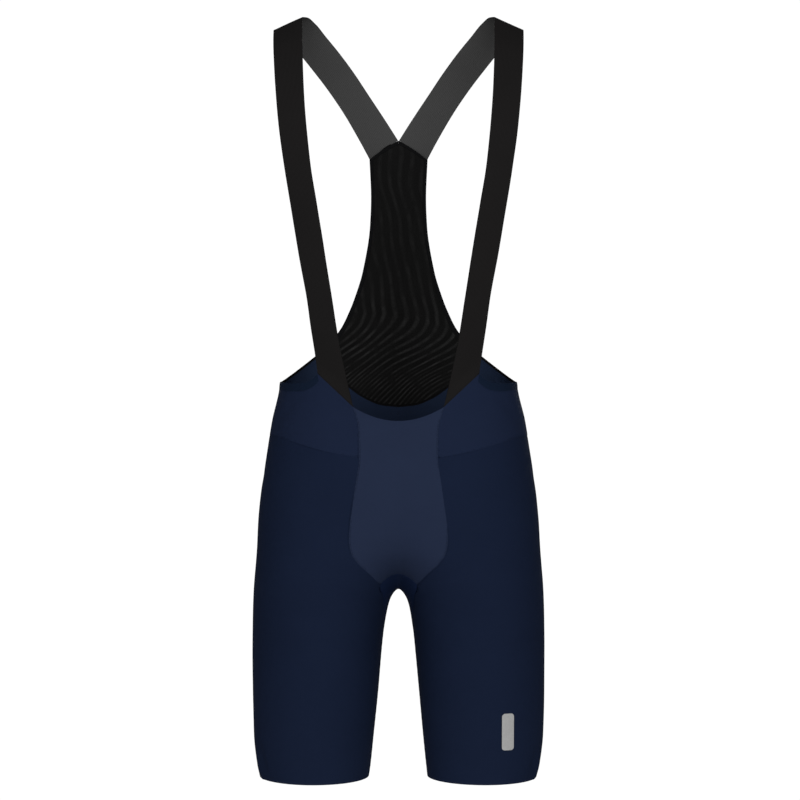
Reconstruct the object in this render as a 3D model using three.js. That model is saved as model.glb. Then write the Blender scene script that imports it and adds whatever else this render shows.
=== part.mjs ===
import * as THREE from "three";

// Cycling bib shorts, filled out as if worn and hollow inside.
// Millimetres. The front faces -Y, the wearer's left is +X and +Z is up.
// The origin lies midway between the tops of the two shoulder straps.

// Driving dimensions
const SHORTS_CLOTH = 1.2;
const MESH_CLOTH = 1.0;
const STRAP_CLOTH = 1.6;
const SEAM_GAP = 0.3;
const HEM_HEIGHT = -904;
const VALLEY_ROUNDING = 8;
const BACK_BINDING = 4;
const ARMHOLE_BINDING = 3.5;
const WAIST_BAND = 6;
// A tape's end is mitred where its cut would reach further in than this many widths
const SHALLOW_CORNER = 1.5;
const STRAP_STEPS_PER_ROW = 2;
const STRAP_COLUMNS = 4;

// Columns round each half of the shorts, shared by the yoke above and the leg below
const STRAP_SEAM_COLUMNS = 4;
const WAIST_COLUMNS = 6;
const ARMHOLE_COLUMNS = 6;
const MESH_SEAM_COLUMNS = 8;
const HALF_COLUMNS = STRAP_SEAM_COLUMNS + WAIST_COLUMNS + ARMHOLE_COLUMNS + MESH_SEAM_COLUMNS;

// Rows of the shared seams
const INSEAM_ROWS = 7;
const YOKE_ROWS = 4;
const BACK_RISE_ROWS = 8;
const PANEL_HALF_COLUMNS = 4;
const MESH_ROWS = 13;

// The general figure that the cloth stands round, a row for each height.
// outer: half width at the side. centre: where the front and the back stand proudest.
// inside: the inner thigh, and above the crotch an unseen edge past the middle.
// front, back: depth from the side seam. power: 2 is an ellipse, more is squarer.
const FORM = [
  { height: -904, outer: 165.0, centre: 93, inside: 28.4, front: 68, back: 66, power: 2.0 },
  { height: -890, outer: 168.4, centre: 93, inside: 26.6, front: 69, back: 67, power: 2.0 },
  { height: -852, outer: 172.8, centre: 92, inside: 22.8, front: 73, back: 72, power: 2.0 },
  { height: -800, outer: 174.0, centre: 90, inside: 18.0, front: 80, back: 80, power: 2.0 },
  { height: -750, outer: 174.2, centre: 88, inside: 13.8, front: 86, back: 88, power: 2.0 },
  { height: -723, outer: 174.0, centre: 87, inside: 11.0, front: 90, back: 93, power: 2.03 },
  { height: -708, outer: 173.8, centre: 86, inside: 8.8, front: 91, back: 96, power: 2.05 },
  { height: -694, outer: 173.4, centre: 85, inside: 5.8, front: 93, back: 99, power: 2.06 },
  { height: -680, outer: 172.8, centre: 83, inside: 0, front: 95, back: 103, power: 2.08 },
  { height: -666, outer: 171.8, centre: 80, inside: -8, front: 97, back: 108, power: 2.1 },
  { height: -650, outer: 170.4, centre: 75, inside: -25, front: 98.5, back: 112, power: 2.12 },
  { height: -630, outer: 168.9, centre: 68, inside: -62, front: 100, back: 116, power: 2.15 },
  { height: -600, outer: 167.3, centre: 60, inside: -140, front: 101, back: 119, power: 2.2 },
  { height: -560, outer: 163.4, centre: 50, inside: -240, front: 101, back: 115, power: 2.2 },
  { height: -520, outer: 157.4, centre: 43, inside: -290, front: 99.5, back: 104, power: 2.2 },
  { height: -480, outer: 151.0, centre: 38, inside: -300, front: 97, back: 91, power: 2.2 },
  { height: -433, outer: 141.4, centre: 35, inside: -300, front: 94, back: 84, power: 2.2 },
  { height: -400, outer: 140.5, centre: 35, inside: -300, front: 93, back: 84, power: 2.2 },
  { height: -330, outer: 146.0, centre: 35, inside: -300, front: 98, back: 91, power: 2.2 },
  { height: -250, outer: 156.0, centre: 35, inside: -300, front: 105, back: 101, power: 2.2 },
  { height: -180, outer: 163.0, centre: 35, inside: -300, front: 108, back: 104, power: 2.2 },
  { height: -125, outer: 166.0, centre: 35, inside: -300, front: 104, back: 99, power: 2.2 },
];

// Side seam of the centre-front panel, from its waist corner down to the gusset's corner
const PANEL_EDGE = [
  { height: -670.0, across: 21.6 },
  { height: -656.0, across: 34.0 },
  { height: -643.0, across: 47.0 },
  { height: -631.0, across: 54.5 },
  { height: -616.0, across: 57.0 },
  { height: -599.0, across: 56.0 },
  { height: -573.0, across: 52.5 },
  { height: -551.0, across: 49.5 },
  { height: -520.0, across: 45.5 },
  { height: -489.0, across: 46.2 },
  { height: -462.3, across: 52.4 },
];
const PANEL_SEAM_HEIGHTS = [-670, -656, -643, -631, -616, -599, -580, -561, -541, -520];
const PANEL_TOP_MIDDLE = -478.4;
const PANEL_ARCH_MIDDLE = -658;

// Seam under the hip yoke, by the direction round the body: 90 front, 180 side, 270 back
const YOKE_SEAM = [
  { direction: 88, height: -520 },
  { direction: 109, height: -512 },
  { direction: 128, height: -504 },
  { direction: 140, height: -500 },
  { direction: 160, height: -497 },
  { direction: 180, height: -496 },
  { direction: 230, height: -503 },
  { direction: 277, height: -515 },
];

// Waist edge in front of the side, from the strap's corner outwards
const WAIST_FRONT = [
  { across: 93.4, height: -424.0 },
  { across: 99.3, height: -429.8 },
  { across: 108.9, height: -434.0 },
  { across: 125.0, height: -434.8 },
  { across: 141.4, height: -432.6 },
];
const SIDE_WAIST = { across: 141.4, height: -432.6 };
const MESH_CORNER = { across: 102, height: -400 };

// Seam between the shorts' back and the mesh, from the middle outwards
const MESH_SEAM = [
  { across: 0, height: -463 },
  { across: 20, height: -461 },
  { across: 40, height: -453.5 },
  { across: 56.5, height: -443 },
  { across: 80, height: -421.5 },
  { across: 102, height: -400 },
];

// Armhole edge of the mesh back, from its lower corner up to the strap
const MESH_SIDE = [
  { row: 0, across: 102.0, height: -400.0 },
  { row: 1.5, across: 86.0, height: -384.0 },
  { row: 3, across: 71.6, height: -366.0 },
  { row: 4.5, across: 60.5, height: -343.0 },
  { row: 5.5, across: 54.0, height: -326.0 },
  { row: 7, across: 44.5, height: -294.0 },
  { row: 9.5, across: 35.5, height: -236.0 },
  { row: 11, across: 34.3, height: -202.0 },
  { row: 13, across: 36.2, height: -153.7 },
];
const MESH_TOP_MIDDLE = -130.8;
const MESH_TOP_ROUNDING = 1.8;

// Gusset, a row for each place from front to back along the crotch.
// middle: height on the centre line. edge, direction: its side edge on the inner thigh.
const GUSSET = [
  { middle: -658.0, edge: -670, direction: 40 },
  { middle: -668.0, edge: -684, direction: 30 },
  { middle: -675.0, edge: -700, direction: 20 },
  { middle: -679.0, edge: -718, direction: 10 },
  { middle: -680.0, edge: -735, direction: 0 },
  { middle: -679.0, edge: -724, direction: -12 },
  { middle: -674.5, edge: -708, direction: -24 },
  { middle: -667.0, edge: -690, direction: -35 },
  { middle: -656.0, edge: -667, direction: -44 },
  { middle: -640.0, edge: -640, direction: 0 },
];
const GUSSET_FRONT_ROWS = 4;
const GUSSET_LAST = GUSSET.length - 1;
const GUSSET_BACK_TOP = -640;
const BACK_RISE_TOP = -515;

// One strap, a row for each place from its seam at the front, over the shoulder, to the mesh
const STRAP = [
  { outer_x: 93.4, outer_y: -79, outer_z: -424.0, inner_x: 52.4, inner_y: -92, inner_z: -462.3 },
  { outer_x: 97.3, outer_y: -83, outer_z: -396.3, inner_x: 61.2, inner_y: -94, inner_z: -424.2 },
  { outer_x: 101.8, outer_y: -88, outer_z: -366.3, inner_x: 69.7, inner_y: -98, inner_z: -381.6 },
  { outer_x: 105.9, outer_y: -92, outer_z: -336.0, inner_x: 76.5, inner_y: -103, inner_z: -338.0 },
  { outer_x: 115.2, outer_y: -97, outer_z: -283.7, inner_x: 84.8, inner_y: -109, inner_z: -284.5 },
  { outer_x: 124.3, outer_y: -100, outer_z: -228.7, inner_x: 93.6, inner_y: -111, inner_z: -229.6 },
  { outer_x: 131.3, outer_y: -98, outer_z: -187.0, inner_x: 100.6, inner_y: -108, inner_z: -188.0 },
  { outer_x: 137.4, outer_y: -92, outer_z: -144.8, inner_x: 105.4, inner_y: -101, inner_z: -145.8 },
  { outer_x: 142.2, outer_y: -80, outer_z: -101.4, inner_x: 109.2, inner_y: -87, inner_z: -102.4 },
  { outer_x: 145.3, outer_y: -62, outer_z: -65.8, inner_x: 111.7, inner_y: -67, inner_z: -62.0 },
  { outer_x: 147.8, outer_y: -37, outer_z: -34.5, inner_x: 113.6, inner_y: -40, inner_z: -24.5 },
  { outer_x: 149.3, outer_y: -4, outer_z: -11.5, inner_x: 114.8, inner_y: -4, inner_z: 4.0 },
  { outer_x: 144.0, outer_y: 12, outer_z: -11.0, inner_x: 108.5, inner_y: 12, inner_z: 6.0 },
  { outer_x: 133.5, outer_y: 30, outer_z: -19.0, inner_x: 99.5, inner_y: 31, inner_z: 1.0 },
  { outer_x: 121.4, outer_y: 46, outer_z: -31.0, inner_x: 88.5, inner_y: 47, inner_z: -10.5 },
  { outer_x: 104.9, outer_y: 61, outer_z: -49.8, inner_x: 72.6, inner_y: 62, inner_z: -28.1 },
  { outer_x: 87.7, outer_y: 75, outer_z: -70.7, inner_x: 56.3, inner_y: 78, inner_z: -48.3 },
  { outer_x: 67.6, outer_y: 86, outer_z: -99.2, inner_x: 36.7, inner_y: 90, inner_z: -76.3 },
  { outer_x: 50.4, outer_y: 93, outer_z: -128.0, inner_x: 17.5, inner_y: 96, inner_z: -104.5 },
  { outer_x: 36.2, outer_y: 98, outer_z: -153.7, inner_x: 0.4, inner_y: 99, inner_z: -130.8 },
];

// Reflective tab low on the wearer's left leg
const TAB = { middle_x: 127.2, bottom: -863, top: -819.5, half_width: 6.9, corner: 3.5 };
const TAB_FILM = 0.6;
const TAB_ROWS = 10;
const TAB_COLUMNS = 4;

// Finishes
const NAVY = 0x141d2f;
const FRONT_NAVY = 0x222a3e;
const YOKE_NAVY = 0x1b243a;
const GUSSET_NAVY = 0x111a2b;
const MESH_BLACK = 0x131313;
const STRAP_BLACK = 0x1f1e1e;
const TAPE_BLACK = 0x0d0d0e;
const TAB_GREY = 0xa8aaa8;

const RIGHT_ANGLE = Math.PI / 2;
const HALF_TURN = Math.PI;
const FULL_TURN = 2 * Math.PI;

// Helpers on tables and numbers
function lerp(from, to, share) {
  return from + (to - from) * share;
}

function radians(degrees) {
  return (degrees * Math.PI) / 180;
}

// A smooth curve through one column of a table, read along another column that climbs
function column(rows, along, name) {
  const places = rows.map((row) => row[along]);
  const values = rows.map((row) => row[name]);
  const rises = [];
  for (let i = 0; i + 1 < rows.length; i += 1) {
    rises.push((values[i + 1] - values[i]) / (places[i + 1] - places[i]));
  }
  const slopes = values.map((_, i) => {
    const before = rises[Math.max(i - 1, 0)];
    const after = rises[Math.min(i, rises.length - 1)];
    return before * after > 0 ? (2 * before * after) / (before + after) : 0;
  });
  return (at) => {
    let i = 0;
    while (i + 2 < places.length && at > places[i + 1]) {
      i += 1;
    }
    const span = places[i + 1] - places[i];
    const t = Math.min(Math.max((at - places[i]) / span, 0), 1);
    const bend = t * t * (3 - 2 * t);
    const start = t * (1 - t) * (1 - t) * span * slopes[i];
    const end = t * t * (t - 1) * span * slopes[i + 1];
    return lerp(values[i], values[i + 1], bend) + start + end;
  };
}

function columns(rows, along, names) {
  return Object.fromEntries(names.map((name) => [name, column(rows, along, name)]));
}

const form = columns(FORM, "height", ["outer", "centre", "inside", "front", "back", "power"]);
const panelEdge = column(PANEL_EDGE, "height", "across");
const yokeSeamHeight = column(YOKE_SEAM, "direction", "height");
const waistFrontHeight = column(WAIST_FRONT, "across", "height");
const meshSeamHeight = column(MESH_SEAM, "across", "height");
const meshSide = columns(MESH_SIDE, "row", ["across", "height"]);
const strapEdges = columns(
  STRAP.map((row, index) => ({ ...row, index })),
  "index",
  ["outer_x", "outer_y", "outer_z", "inner_x", "inner_y", "inner_z"],
);

// The form: distances from the middle are folded so that both halves meet in a soft valley
function fold(across) {
  return Math.hypot(across, VALLEY_ROUNDING) - VALLEY_ROUNDING;
}

function unfold(folded) {
  return Math.sqrt(Math.max((folded + VALLEY_ROUNDING) ** 2 - VALLEY_ROUNDING ** 2, 0));
}

function section(height) {
  const centre = form.centre(height);
  return {
    centre,
    reachOut: fold(form.outer(height)) - centre,
    reachIn: centre - form.inside(height),
    front: form.front(height),
    back: form.back(height),
    power: form.power(height),
  };
}

// Point at a direction round the half body: 0 inner thigh, 90 front, 180 side, 270 back
function formPoint(direction, height) {
  const s = section(height);
  const c = Math.cos(direction);
  const d = Math.sin(direction);
  const reach = c > 0 ? -s.reachIn : s.reachOut;
  const depth = d > 0 ? -s.front : s.back;
  const x = unfold(s.centre + reach * Math.abs(c) ** (2 / s.power));
  const y = depth * Math.abs(d) ** (2 / s.power);
  return new THREE.Vector3(x, y, height);
}

// Direction at which the front, or the back, stands a given distance from the middle
function frontDirection(across, height) {
  const s = section(height);
  const offset = fold(across) - s.centre;
  const share = offset < 0 ? -offset / s.reachIn : -offset / s.reachOut;
  return Math.acos(Math.sign(share) * Math.min(Math.abs(share), 1) ** (s.power / 2));
}

function backDirection(across, height) {
  return FULL_TURN - frontDirection(across, height);
}

// How far a point lies outside the form, as a number whose slope gives the cloth's normal
function outsideness(x, y, z) {
  const s = section(z);
  const offset = fold(x) - s.centre;
  const across = Math.abs(offset / (offset < 0 ? s.reachIn : s.reachOut));
  const deep = Math.abs(y / (y < 0 ? s.front : s.back));
  return across ** s.power + deep ** s.power;
}

function formNormal(p) {
  const step = 0.25;
  const normal = new THREE.Vector3(
    outsideness(p.x + step, p.y, p.z) - outsideness(p.x - step, p.y, p.z),
    outsideness(p.x, p.y + step, p.z) - outsideness(p.x, p.y - step, p.z),
    outsideness(p.x, p.y, p.z + step) - outsideness(p.x, p.y, p.z - step),
  );
  return normal.normalize();
}

function knot(point) {
  return { point, normal: formNormal(point) };
}

function onForm(place) {
  return knot(formPoint(place.direction, place.height));
}

function onFront(across, height) {
  const point = formPoint(frontDirection(Math.abs(across), height), height);
  point.x *= Math.sign(across) || 1;
  return knot(point);
}

function onBack(across, height) {
  const point = formPoint(backDirection(Math.abs(across), height), height);
  point.x *= Math.sign(across) || 1;
  return knot(point);
}

function mirrored(grid) {
  return grid.map((row) =>
    row.map(({ point, normal }) => ({
      point: new THREE.Vector3(-point.x, point.y, point.z),
      normal: new THREE.Vector3(-normal.x, normal.y, normal.z),
    })),
  );
}

// A patch of places between four edges, each edge an array of directions and heights
function patch(bottom, top, left, right) {
  const lastColumn = bottom.length - 1;
  const lastRow = left.length - 1;
  const mix = (name, i, j) => {
    const u = j / lastColumn;
    const v = i / lastRow;
    const sides = lerp(left[i][name], right[i][name], u);
    const ends = lerp(bottom[j][name], top[j][name], v);
    const low = lerp(bottom[0][name], bottom[lastColumn][name], u);
    const high = lerp(top[0][name], top[lastColumn][name], u);
    return sides + ends - lerp(low, high, v);
  };
  return left.map((_, i) =>
    bottom.map((__, j) => ({
      direction: mix("direction", i, j),
      height: mix("height", i, j),
    })),
  );
}

// The rim of a grid as a loop of row and column pairs, each with the side that follows it
function rim(grid) {
  const lastRow = grid.length - 1;
  const lastColumn = grid[0].length - 1;
  const loop = [];
  for (let j = 0; j < lastColumn; j += 1) {
    loop.push({ i: 0, j, side: "start" });
  }
  for (let i = 0; i < lastRow; i += 1) {
    loop.push({ i, j: lastColumn, side: "right" });
  }
  for (let j = lastColumn; j > 0; j -= 1) {
    loop.push({ i: lastRow, j, side: "end" });
  }
  for (let i = lastRow; i > 0; i -= 1) {
    loop.push({ i, j: 0, side: "left" });
  }
  return loop.filter((stop, k) => {
    const next = loop[(k + 1) % loop.length];
    const here = grid[stop.i][stop.j].point;
    return here.distanceTo(grid[next.i][next.j].point) > 1e-6;
  });
}

// Where each rim point goes when the sides are drawn in by their own distances
function drawnIn(grid, distance) {
  const loop = rim(grid);
  const inward = loop.map((stop, k) => {
    const next = loop[(k + 1) % loop.length];
    const here = grid[stop.i][stop.j];
    const along = grid[next.i][next.j].point.clone().sub(here.point);
    return here.normal.clone().cross(along).normalize();
  });
  const intoGrid = grid[1][0].point.clone().sub(grid[0][0].point);
  if (inward[0].dot(intoGrid) < 0) {
    inward.forEach((step) => step.negate());
  }
  return loop.map((stop, k) => {
    const before = (k + loop.length - 1) % loop.length;
    const near = distance(loop[before].side, loop[before]);
    const far = distance(stop.side, stop);
    const turn = Math.min(inward[before].dot(inward[k]), 0.9999);
    const sharp = 1 - turn * turn;
    const smooth = sharp < 0.02;
    const a = smooth ? near / 2 : (near - turn * far) / sharp;
    const b = smooth ? far / 2 : (far - turn * near) / sharp;
    const move = inward[before].clone().multiplyScalar(a).addScaledVector(inward[k], b);
    move.clampLength(0, 2 * Math.max(near, far));
    return { ...stop, point: grid[stop.i][stop.j].point.clone().add(move) };
  });
}

// The grid with its sides drawn in, so that its neighbours or its edge tape have room
function drawIn(grid, distance) {
  const result = grid.map((row) => row.map((k) => ({ ...k })));
  drawnIn(grid, distance).forEach(({ i, j, point }) => {
    const closesToPoint = grid[i][0].point.distanceTo(grid[i][1].point) < 1e-6;
    const places = closesToPoint ? result[i] : [result[i][j]];
    places.forEach((place) => {
      place.point = point;
    });
  });
  return result;
}

// A tape along part of a grid's rim, from the rim itself to its width inside.
// Its ends are mitred where another tape shares the corner or the corner is shallow.
function edgeTape(grid, width, belongs, sharesCorners = false) {
  const outside = drawnIn(grid, () => 0);
  const mitred = drawnIn(grid, () => width - SEAM_GAP / 2);
  const squared = drawnIn(grid, (_, stop) => (belongs(stop) ? width - SEAM_GAP / 2 : 0));
  const inside = mitred.map((stop, k) => {
    const cut = squared[k];
    const isShallow = cut.point.distanceTo(outside[k].point) > SHALLOW_CORNER * width;
    return sharesCorners || isShallow ? stop : cut;
  });
  const start = outside.findIndex((stop, k) => {
    const before = outside[(k + outside.length - 1) % outside.length];
    return belongs(stop) && !belongs(before);
  });
  const tape = [];
  for (let k = 0; k <= outside.length; k += 1) {
    const at = (start + k) % outside.length;
    const { i, j, point } = outside[at];
    const { normal } = grid[i][j];
    tape.push([
      { point, normal },
      { point: inside[at].point, normal },
    ]);
    if (!belongs(outside[at])) {
      break;
    }
  }
  return drawIn(tape, (side) => (side === "start" || side === "end" ? SEAM_GAP / 2 : 0));
}

// Volume inside a closed mesh, below zero where its faces point inwards
function enclosedVolume(positions, triangles) {
  const corner = (index) => new THREE.Vector3().fromArray(positions, 3 * index);
  let volume = 0;
  for (let t = 0; t < triangles.length; t += 3) {
    const [a, b, c] = triangles.slice(t, t + 3).map(corner);
    volume += a.dot(b.cross(c)) / 6;
  }
  return volume;
}

// A closed wall of cloth round a grid, half its thickness on each side
function wall(grid, thickness) {
  const positions = [];
  const indexOf = new Map();
  const vertex = (point) => {
    const key = point.toArray().map((value) => value.toFixed(4)).join(" ");
    if (!indexOf.has(key)) {
      indexOf.set(key, positions.length / 3);
      positions.push(...point.toArray());
    }
    return indexOf.get(key);
  };
  const layer = (side) =>
    grid.map((row) =>
      row.map((k) => vertex(k.point.clone().addScaledVector(k.normal, (side * thickness) / 2))),
    );
  const outer = layer(1);
  const inner = layer(-1);
  const triangles = [];
  const triangle = (a, b, c) => {
    if (a !== b && b !== c && c !== a) {
      triangles.push(a, b, c);
    }
  };
  const quad = (a, b, c, d) => {
    triangle(a, b, c);
    triangle(a, c, d);
  };
  for (let i = 0; i + 1 < grid.length; i += 1) {
    for (let j = 0; j + 1 < grid[0].length; j += 1) {
      quad(outer[i][j], outer[i][j + 1], outer[i + 1][j + 1], outer[i + 1][j]);
      quad(inner[i][j], inner[i + 1][j], inner[i + 1][j + 1], inner[i][j + 1]);
    }
  }
  const loop = rim(grid);
  loop.forEach((here, k) => {
    const next = loop[(k + 1) % loop.length];
    const ends = [outer, inner].map((side) => [side[here.i][here.j], side[next.i][next.j]]);
    quad(ends[0][0], ends[1][0], ends[1][1], ends[0][1]);
  });
  if (enclosedVolume(positions, triangles) < 0) {
    for (let t = 0; t < triangles.length; t += 3) {
      [triangles[t + 1], triangles[t + 2]] = [triangles[t + 2], triangles[t + 1]];
    }
  }
  const geometry = new THREE.BufferGeometry();
  geometry.setAttribute("position", new THREE.Float32BufferAttribute(positions, 3));
  geometry.setIndex(triangles);
  geometry.computeVertexNormals();
  return geometry;
}

const garment = new THREE.Group();

function addPiece(name, grid, thickness, color, roughness) {
  const material = new THREE.MeshStandardMaterial({ color, roughness, metalness: 0 });
  const mesh = new THREE.Mesh(wall(grid, thickness), material);
  mesh.name = name;
  garment.add(mesh);
}

// The same piece on the wearer's left, as drawn, and on the wearer's right
function addPair(name, grid, thickness, color, roughness) {
  addPiece(`${name}_left`, grid, thickness, color, roughness);
  addPiece(`${name}_right`, mirrored(grid), thickness, color, roughness);
}

const halfGap = () => SEAM_GAP / 2;

// Shared seams, as directions and heights
function steps(count, place) {
  return Array.from({ length: count + 1 }, (_, k) => place(k / count, k));
}

const inseam = steps(INSEAM_ROWS, (share) =>
  lerp(HEM_HEIGHT, GUSSET[GUSSET_FRONT_ROWS].edge, share),
);
const gussetFront = GUSSET.slice(0, GUSSET_FRONT_ROWS).reverse();
const gussetBack = GUSSET.slice(GUSSET_FRONT_ROWS + 1, GUSSET_LAST);
const panelSeam = PANEL_SEAM_HEIGHTS.map((height) => ({
  direction: frontDirection(panelEdge(height), height),
  height,
}));
const backRise = steps(BACK_RISE_ROWS, (share) => {
  const height = lerp(GUSSET_BACK_TOP, BACK_RISE_TOP, share);
  return { direction: backDirection(0, height), height };
});

const legFront = [
  ...inseam.map((height) => ({ direction: 0, height })),
  ...gussetFront.slice(0, -1).map((row) => ({ direction: radians(row.direction), height: row.edge })),
  ...panelSeam,
];
const legBack = [
  ...inseam.map((height) => ({ direction: FULL_TURN, height })),
  ...gussetBack.map((row) => ({
    direction: FULL_TURN + radians(row.direction),
    height: row.edge,
  })),
  ...backRise,
];

// Waist edge of one half, from the centre-front panel round the side to the middle of the back
const strapSeam = steps(STRAP_SEAM_COLUMNS, (share) => {
  const [row] = STRAP;
  const across = lerp(row.inner_x, row.outer_x, share);
  const height = lerp(row.inner_z, row.outer_z, share);
  return { direction: frontDirection(across, height), height };
});
const waistFront = steps(WAIST_COLUMNS, (share) => {
  const [corner] = WAIST_FRONT;
  const turn = Math.sin(share * RIGHT_ANGLE);
  const across = lerp(corner.across, SIDE_WAIST.across, turn);
  const height = waistFrontHeight(across);
  return { direction: share === 1 ? HALF_TURN : frontDirection(across, height), height };
});
const armhole = steps(ARMHOLE_COLUMNS, (share) => {
  const turn = Math.cos(share * RIGHT_ANGLE);
  const across = lerp(MESH_CORNER.across, SIDE_WAIST.across, turn);
  const height = lerp(MESH_CORNER.height, SIDE_WAIST.height, turn);
  return { direction: share === 0 ? HALF_TURN : backDirection(across, height), height };
});
const meshSeam = steps(MESH_SEAM_COLUMNS, (share) => {
  const across = lerp(MESH_CORNER.across, 0, share);
  const height = meshSeamHeight(across);
  return { direction: backDirection(across, height), height };
});
const waistEdge = [strapSeam, waistFront.slice(1), armhole.slice(1), meshSeam.slice(1)].flat();

// Front edge and centre-back edge of the yoke
const yokeFront = steps(YOKE_ROWS, (share) => {
  const height = lerp(panelSeam.at(-1).height, STRAP[0].inner_z, share);
  return { direction: frontDirection(panelEdge(height), height), height };
});
const yokeBack = steps(YOKE_ROWS, (share) => {
  const height = lerp(BACK_RISE_TOP, MESH_SEAM[0].height, share);
  return { direction: backDirection(0, height), height };
});

// Seam between yoke and leg, its columns standing under those of the waist edge
const yokeSeam = steps(HALF_COLUMNS, (share, k) => {
  const shift = lerp(
    yokeFront[0].direction - waistEdge[0].direction,
    yokeBack[0].direction - waistEdge.at(-1).direction,
    share,
  );
  const direction = waistEdge[k].direction + shift;
  const ends = { 0: yokeFront[0].height, [HALF_COLUMNS]: yokeBack[0].height };
  return { direction, height: ends[k] ?? yokeSeamHeight((direction * 180) / Math.PI) };
});

// Leg panels, each one piece round the thigh, joined on the inner thigh
function legGrid() {
  const hem = steps(HALF_COLUMNS, (share) => ({
    direction: share * FULL_TURN,
    height: HEM_HEIGHT,
  }));
  const places = patch(hem, yokeSeam, legFront, legBack);
  return places.map((row) => row.map(onForm));
}

addPair(
  "leg",
  drawIn(legGrid(), (side) => (side === "start" ? 0 : SEAM_GAP / 2)),
  SHORTS_CLOTH,
  NAVY,
  0.72,
);

// Hip yokes, from the centre-front panel to the middle of the back
const yokeGrid = patch(yokeSeam, waistEdge, yokeFront, yokeBack).map((row) => row.map(onForm));
const firstWaistColumn = STRAP_SEAM_COLUMNS;
const firstArmholeColumn = STRAP_SEAM_COLUMNS + WAIST_COLUMNS;
const firstMeshColumn = firstArmholeColumn + ARMHOLE_COLUMNS;

// The rim runs back along the top edge, so a stretch is named by the column that ends it
function isWaist(stop) {
  return stop.side === "end" && stop.j > firstWaistColumn && stop.j <= firstArmholeColumn;
}

function isArmhole(stop) {
  return stop.side === "end" && stop.j > firstArmholeColumn && stop.j <= firstMeshColumn;
}

function yokeRoom(side, stop) {
  if (isWaist(stop)) {
    return WAIST_BAND + SEAM_GAP / 2;
  }
  if (isArmhole(stop)) {
    return ARMHOLE_BINDING + SEAM_GAP / 2;
  }
  return SEAM_GAP / 2;
}

addPair("hip_yoke", drawIn(yokeGrid, yokeRoom), SHORTS_CLOTH, YOKE_NAVY, 0.7);
addPair("waist_band", edgeTape(yokeGrid, WAIST_BAND, isWaist), SHORTS_CLOTH, NAVY, 0.75);
addPair(
  "armhole_binding",
  edgeTape(yokeGrid, ARMHOLE_BINDING, isArmhole),
  SHORTS_CLOTH,
  TAPE_BLACK,
  0.85,
);

// Centre-front panel
function frontPanelGrid() {
  const edge = [...panelSeam.map((place) => place.height), ...yokeFront.slice(1).map((p) => p.height)];
  const bottom = edge[0];
  const top = edge.at(-1);
  return edge.map((edgeHeight) => {
    const share = (edgeHeight - bottom) / (top - bottom);
    const middle = lerp(PANEL_ARCH_MIDDLE, PANEL_TOP_MIDDLE, share);
    return steps(2 * PANEL_HALF_COLUMNS, (at) => {
      const across = 2 * at - 1;
      const height = lerp(middle, edgeHeight, across * across);
      return onFront(across * panelEdge(edgeHeight), height);
    });
  });
}

const frontPanel = frontPanelGrid();
addPiece(
  "front_panel",
  drawIn(frontPanel, (side) => (side === "end" ? 0 : SEAM_GAP / 2)),
  SHORTS_CLOTH,
  FRONT_NAVY,
  0.7,
);

// Crotch gusset, front to back between the thighs, closing to a point on the back rise
function gussetHalfRow(row, k) {
  if (k === 0) {
    return frontPanel[0].slice(PANEL_HALF_COLUMNS);
  }
  const facing = k <= GUSSET_FRONT_ROWS ? 1 : -1;
  const middle = facing * frontDirection(0, row.middle);
  if (k === GUSSET_LAST) {
    const tip = { direction: middle, height: row.middle };
    return steps(PANEL_HALF_COLUMNS, () => onForm(tip));
  }
  return steps(PANEL_HALF_COLUMNS, (share) => {
    const spread = share * share;
    return onForm({
      direction: lerp(middle, radians(row.direction), spread),
      height: lerp(row.middle, row.edge, spread),
    });
  });
}

const gussetGrid = GUSSET.map((row, k) => {
  const half = gussetHalfRow(row, k);
  const [other] = mirrored([half.slice(1).reverse()]);
  return [...other, ...half];
});
addPiece("crotch_gusset", drawIn(gussetGrid, halfGap), SHORTS_CLOTH, GUSSET_NAVY, 0.75);

// Mesh back panel, between its two armhole edges
function meshGrid() {
  const bottom = steps(2 * MESH_SEAM_COLUMNS, (at) => {
    const across = lerp(-MESH_CORNER.across, MESH_CORNER.across, at);
    return { across, height: meshSeamHeight(Math.abs(across)) };
  });
  const corner = { across: meshSide.across(MESH_ROWS), height: meshSide.height(MESH_ROWS) };
  return steps(MESH_ROWS, (v, i) => {
    const half = meshSide.across(i);
    return bottom.map((low, j) => {
      const share = low.across / MESH_CORNER.across;
      const straight = lerp(MESH_TOP_MIDDLE, corner.height, Math.abs(share));
      const high = straight + MESH_TOP_ROUNDING * Math.sin(Math.abs(share) * HALF_TURN);
      const sides = meshSide.height(i);
      const ends = lerp(low.height, high, v);
      const corners = lerp(MESH_CORNER.height, corner.height, v);
      return onBack(share * half, sides + ends - corners);
    });
  });
}

const mesh = meshGrid();

function isMeshSeam(stop) {
  return stop.side === "start";
}

// The back binding runs up one side and over the top to the middle
function isLeftBinding(stop) {
  return stop.side === "right" || (stop.side === "end" && stop.j > MESH_SEAM_COLUMNS);
}

addPiece(
  "mesh_back",
  drawIn(mesh, () => BACK_BINDING + SEAM_GAP / 2),
  MESH_CLOTH,
  MESH_BLACK,
  0.85,
);
addPiece(
  "mesh_seam_band",
  edgeTape(mesh, BACK_BINDING, isMeshSeam, true),
  SHORTS_CLOTH,
  TAPE_BLACK,
  0.8,
);
addPair(
  "back_binding",
  edgeTape(mesh, BACK_BINDING, isLeftBinding, true),
  SHORTS_CLOTH,
  TAPE_BLACK,
  0.85,
);

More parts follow.
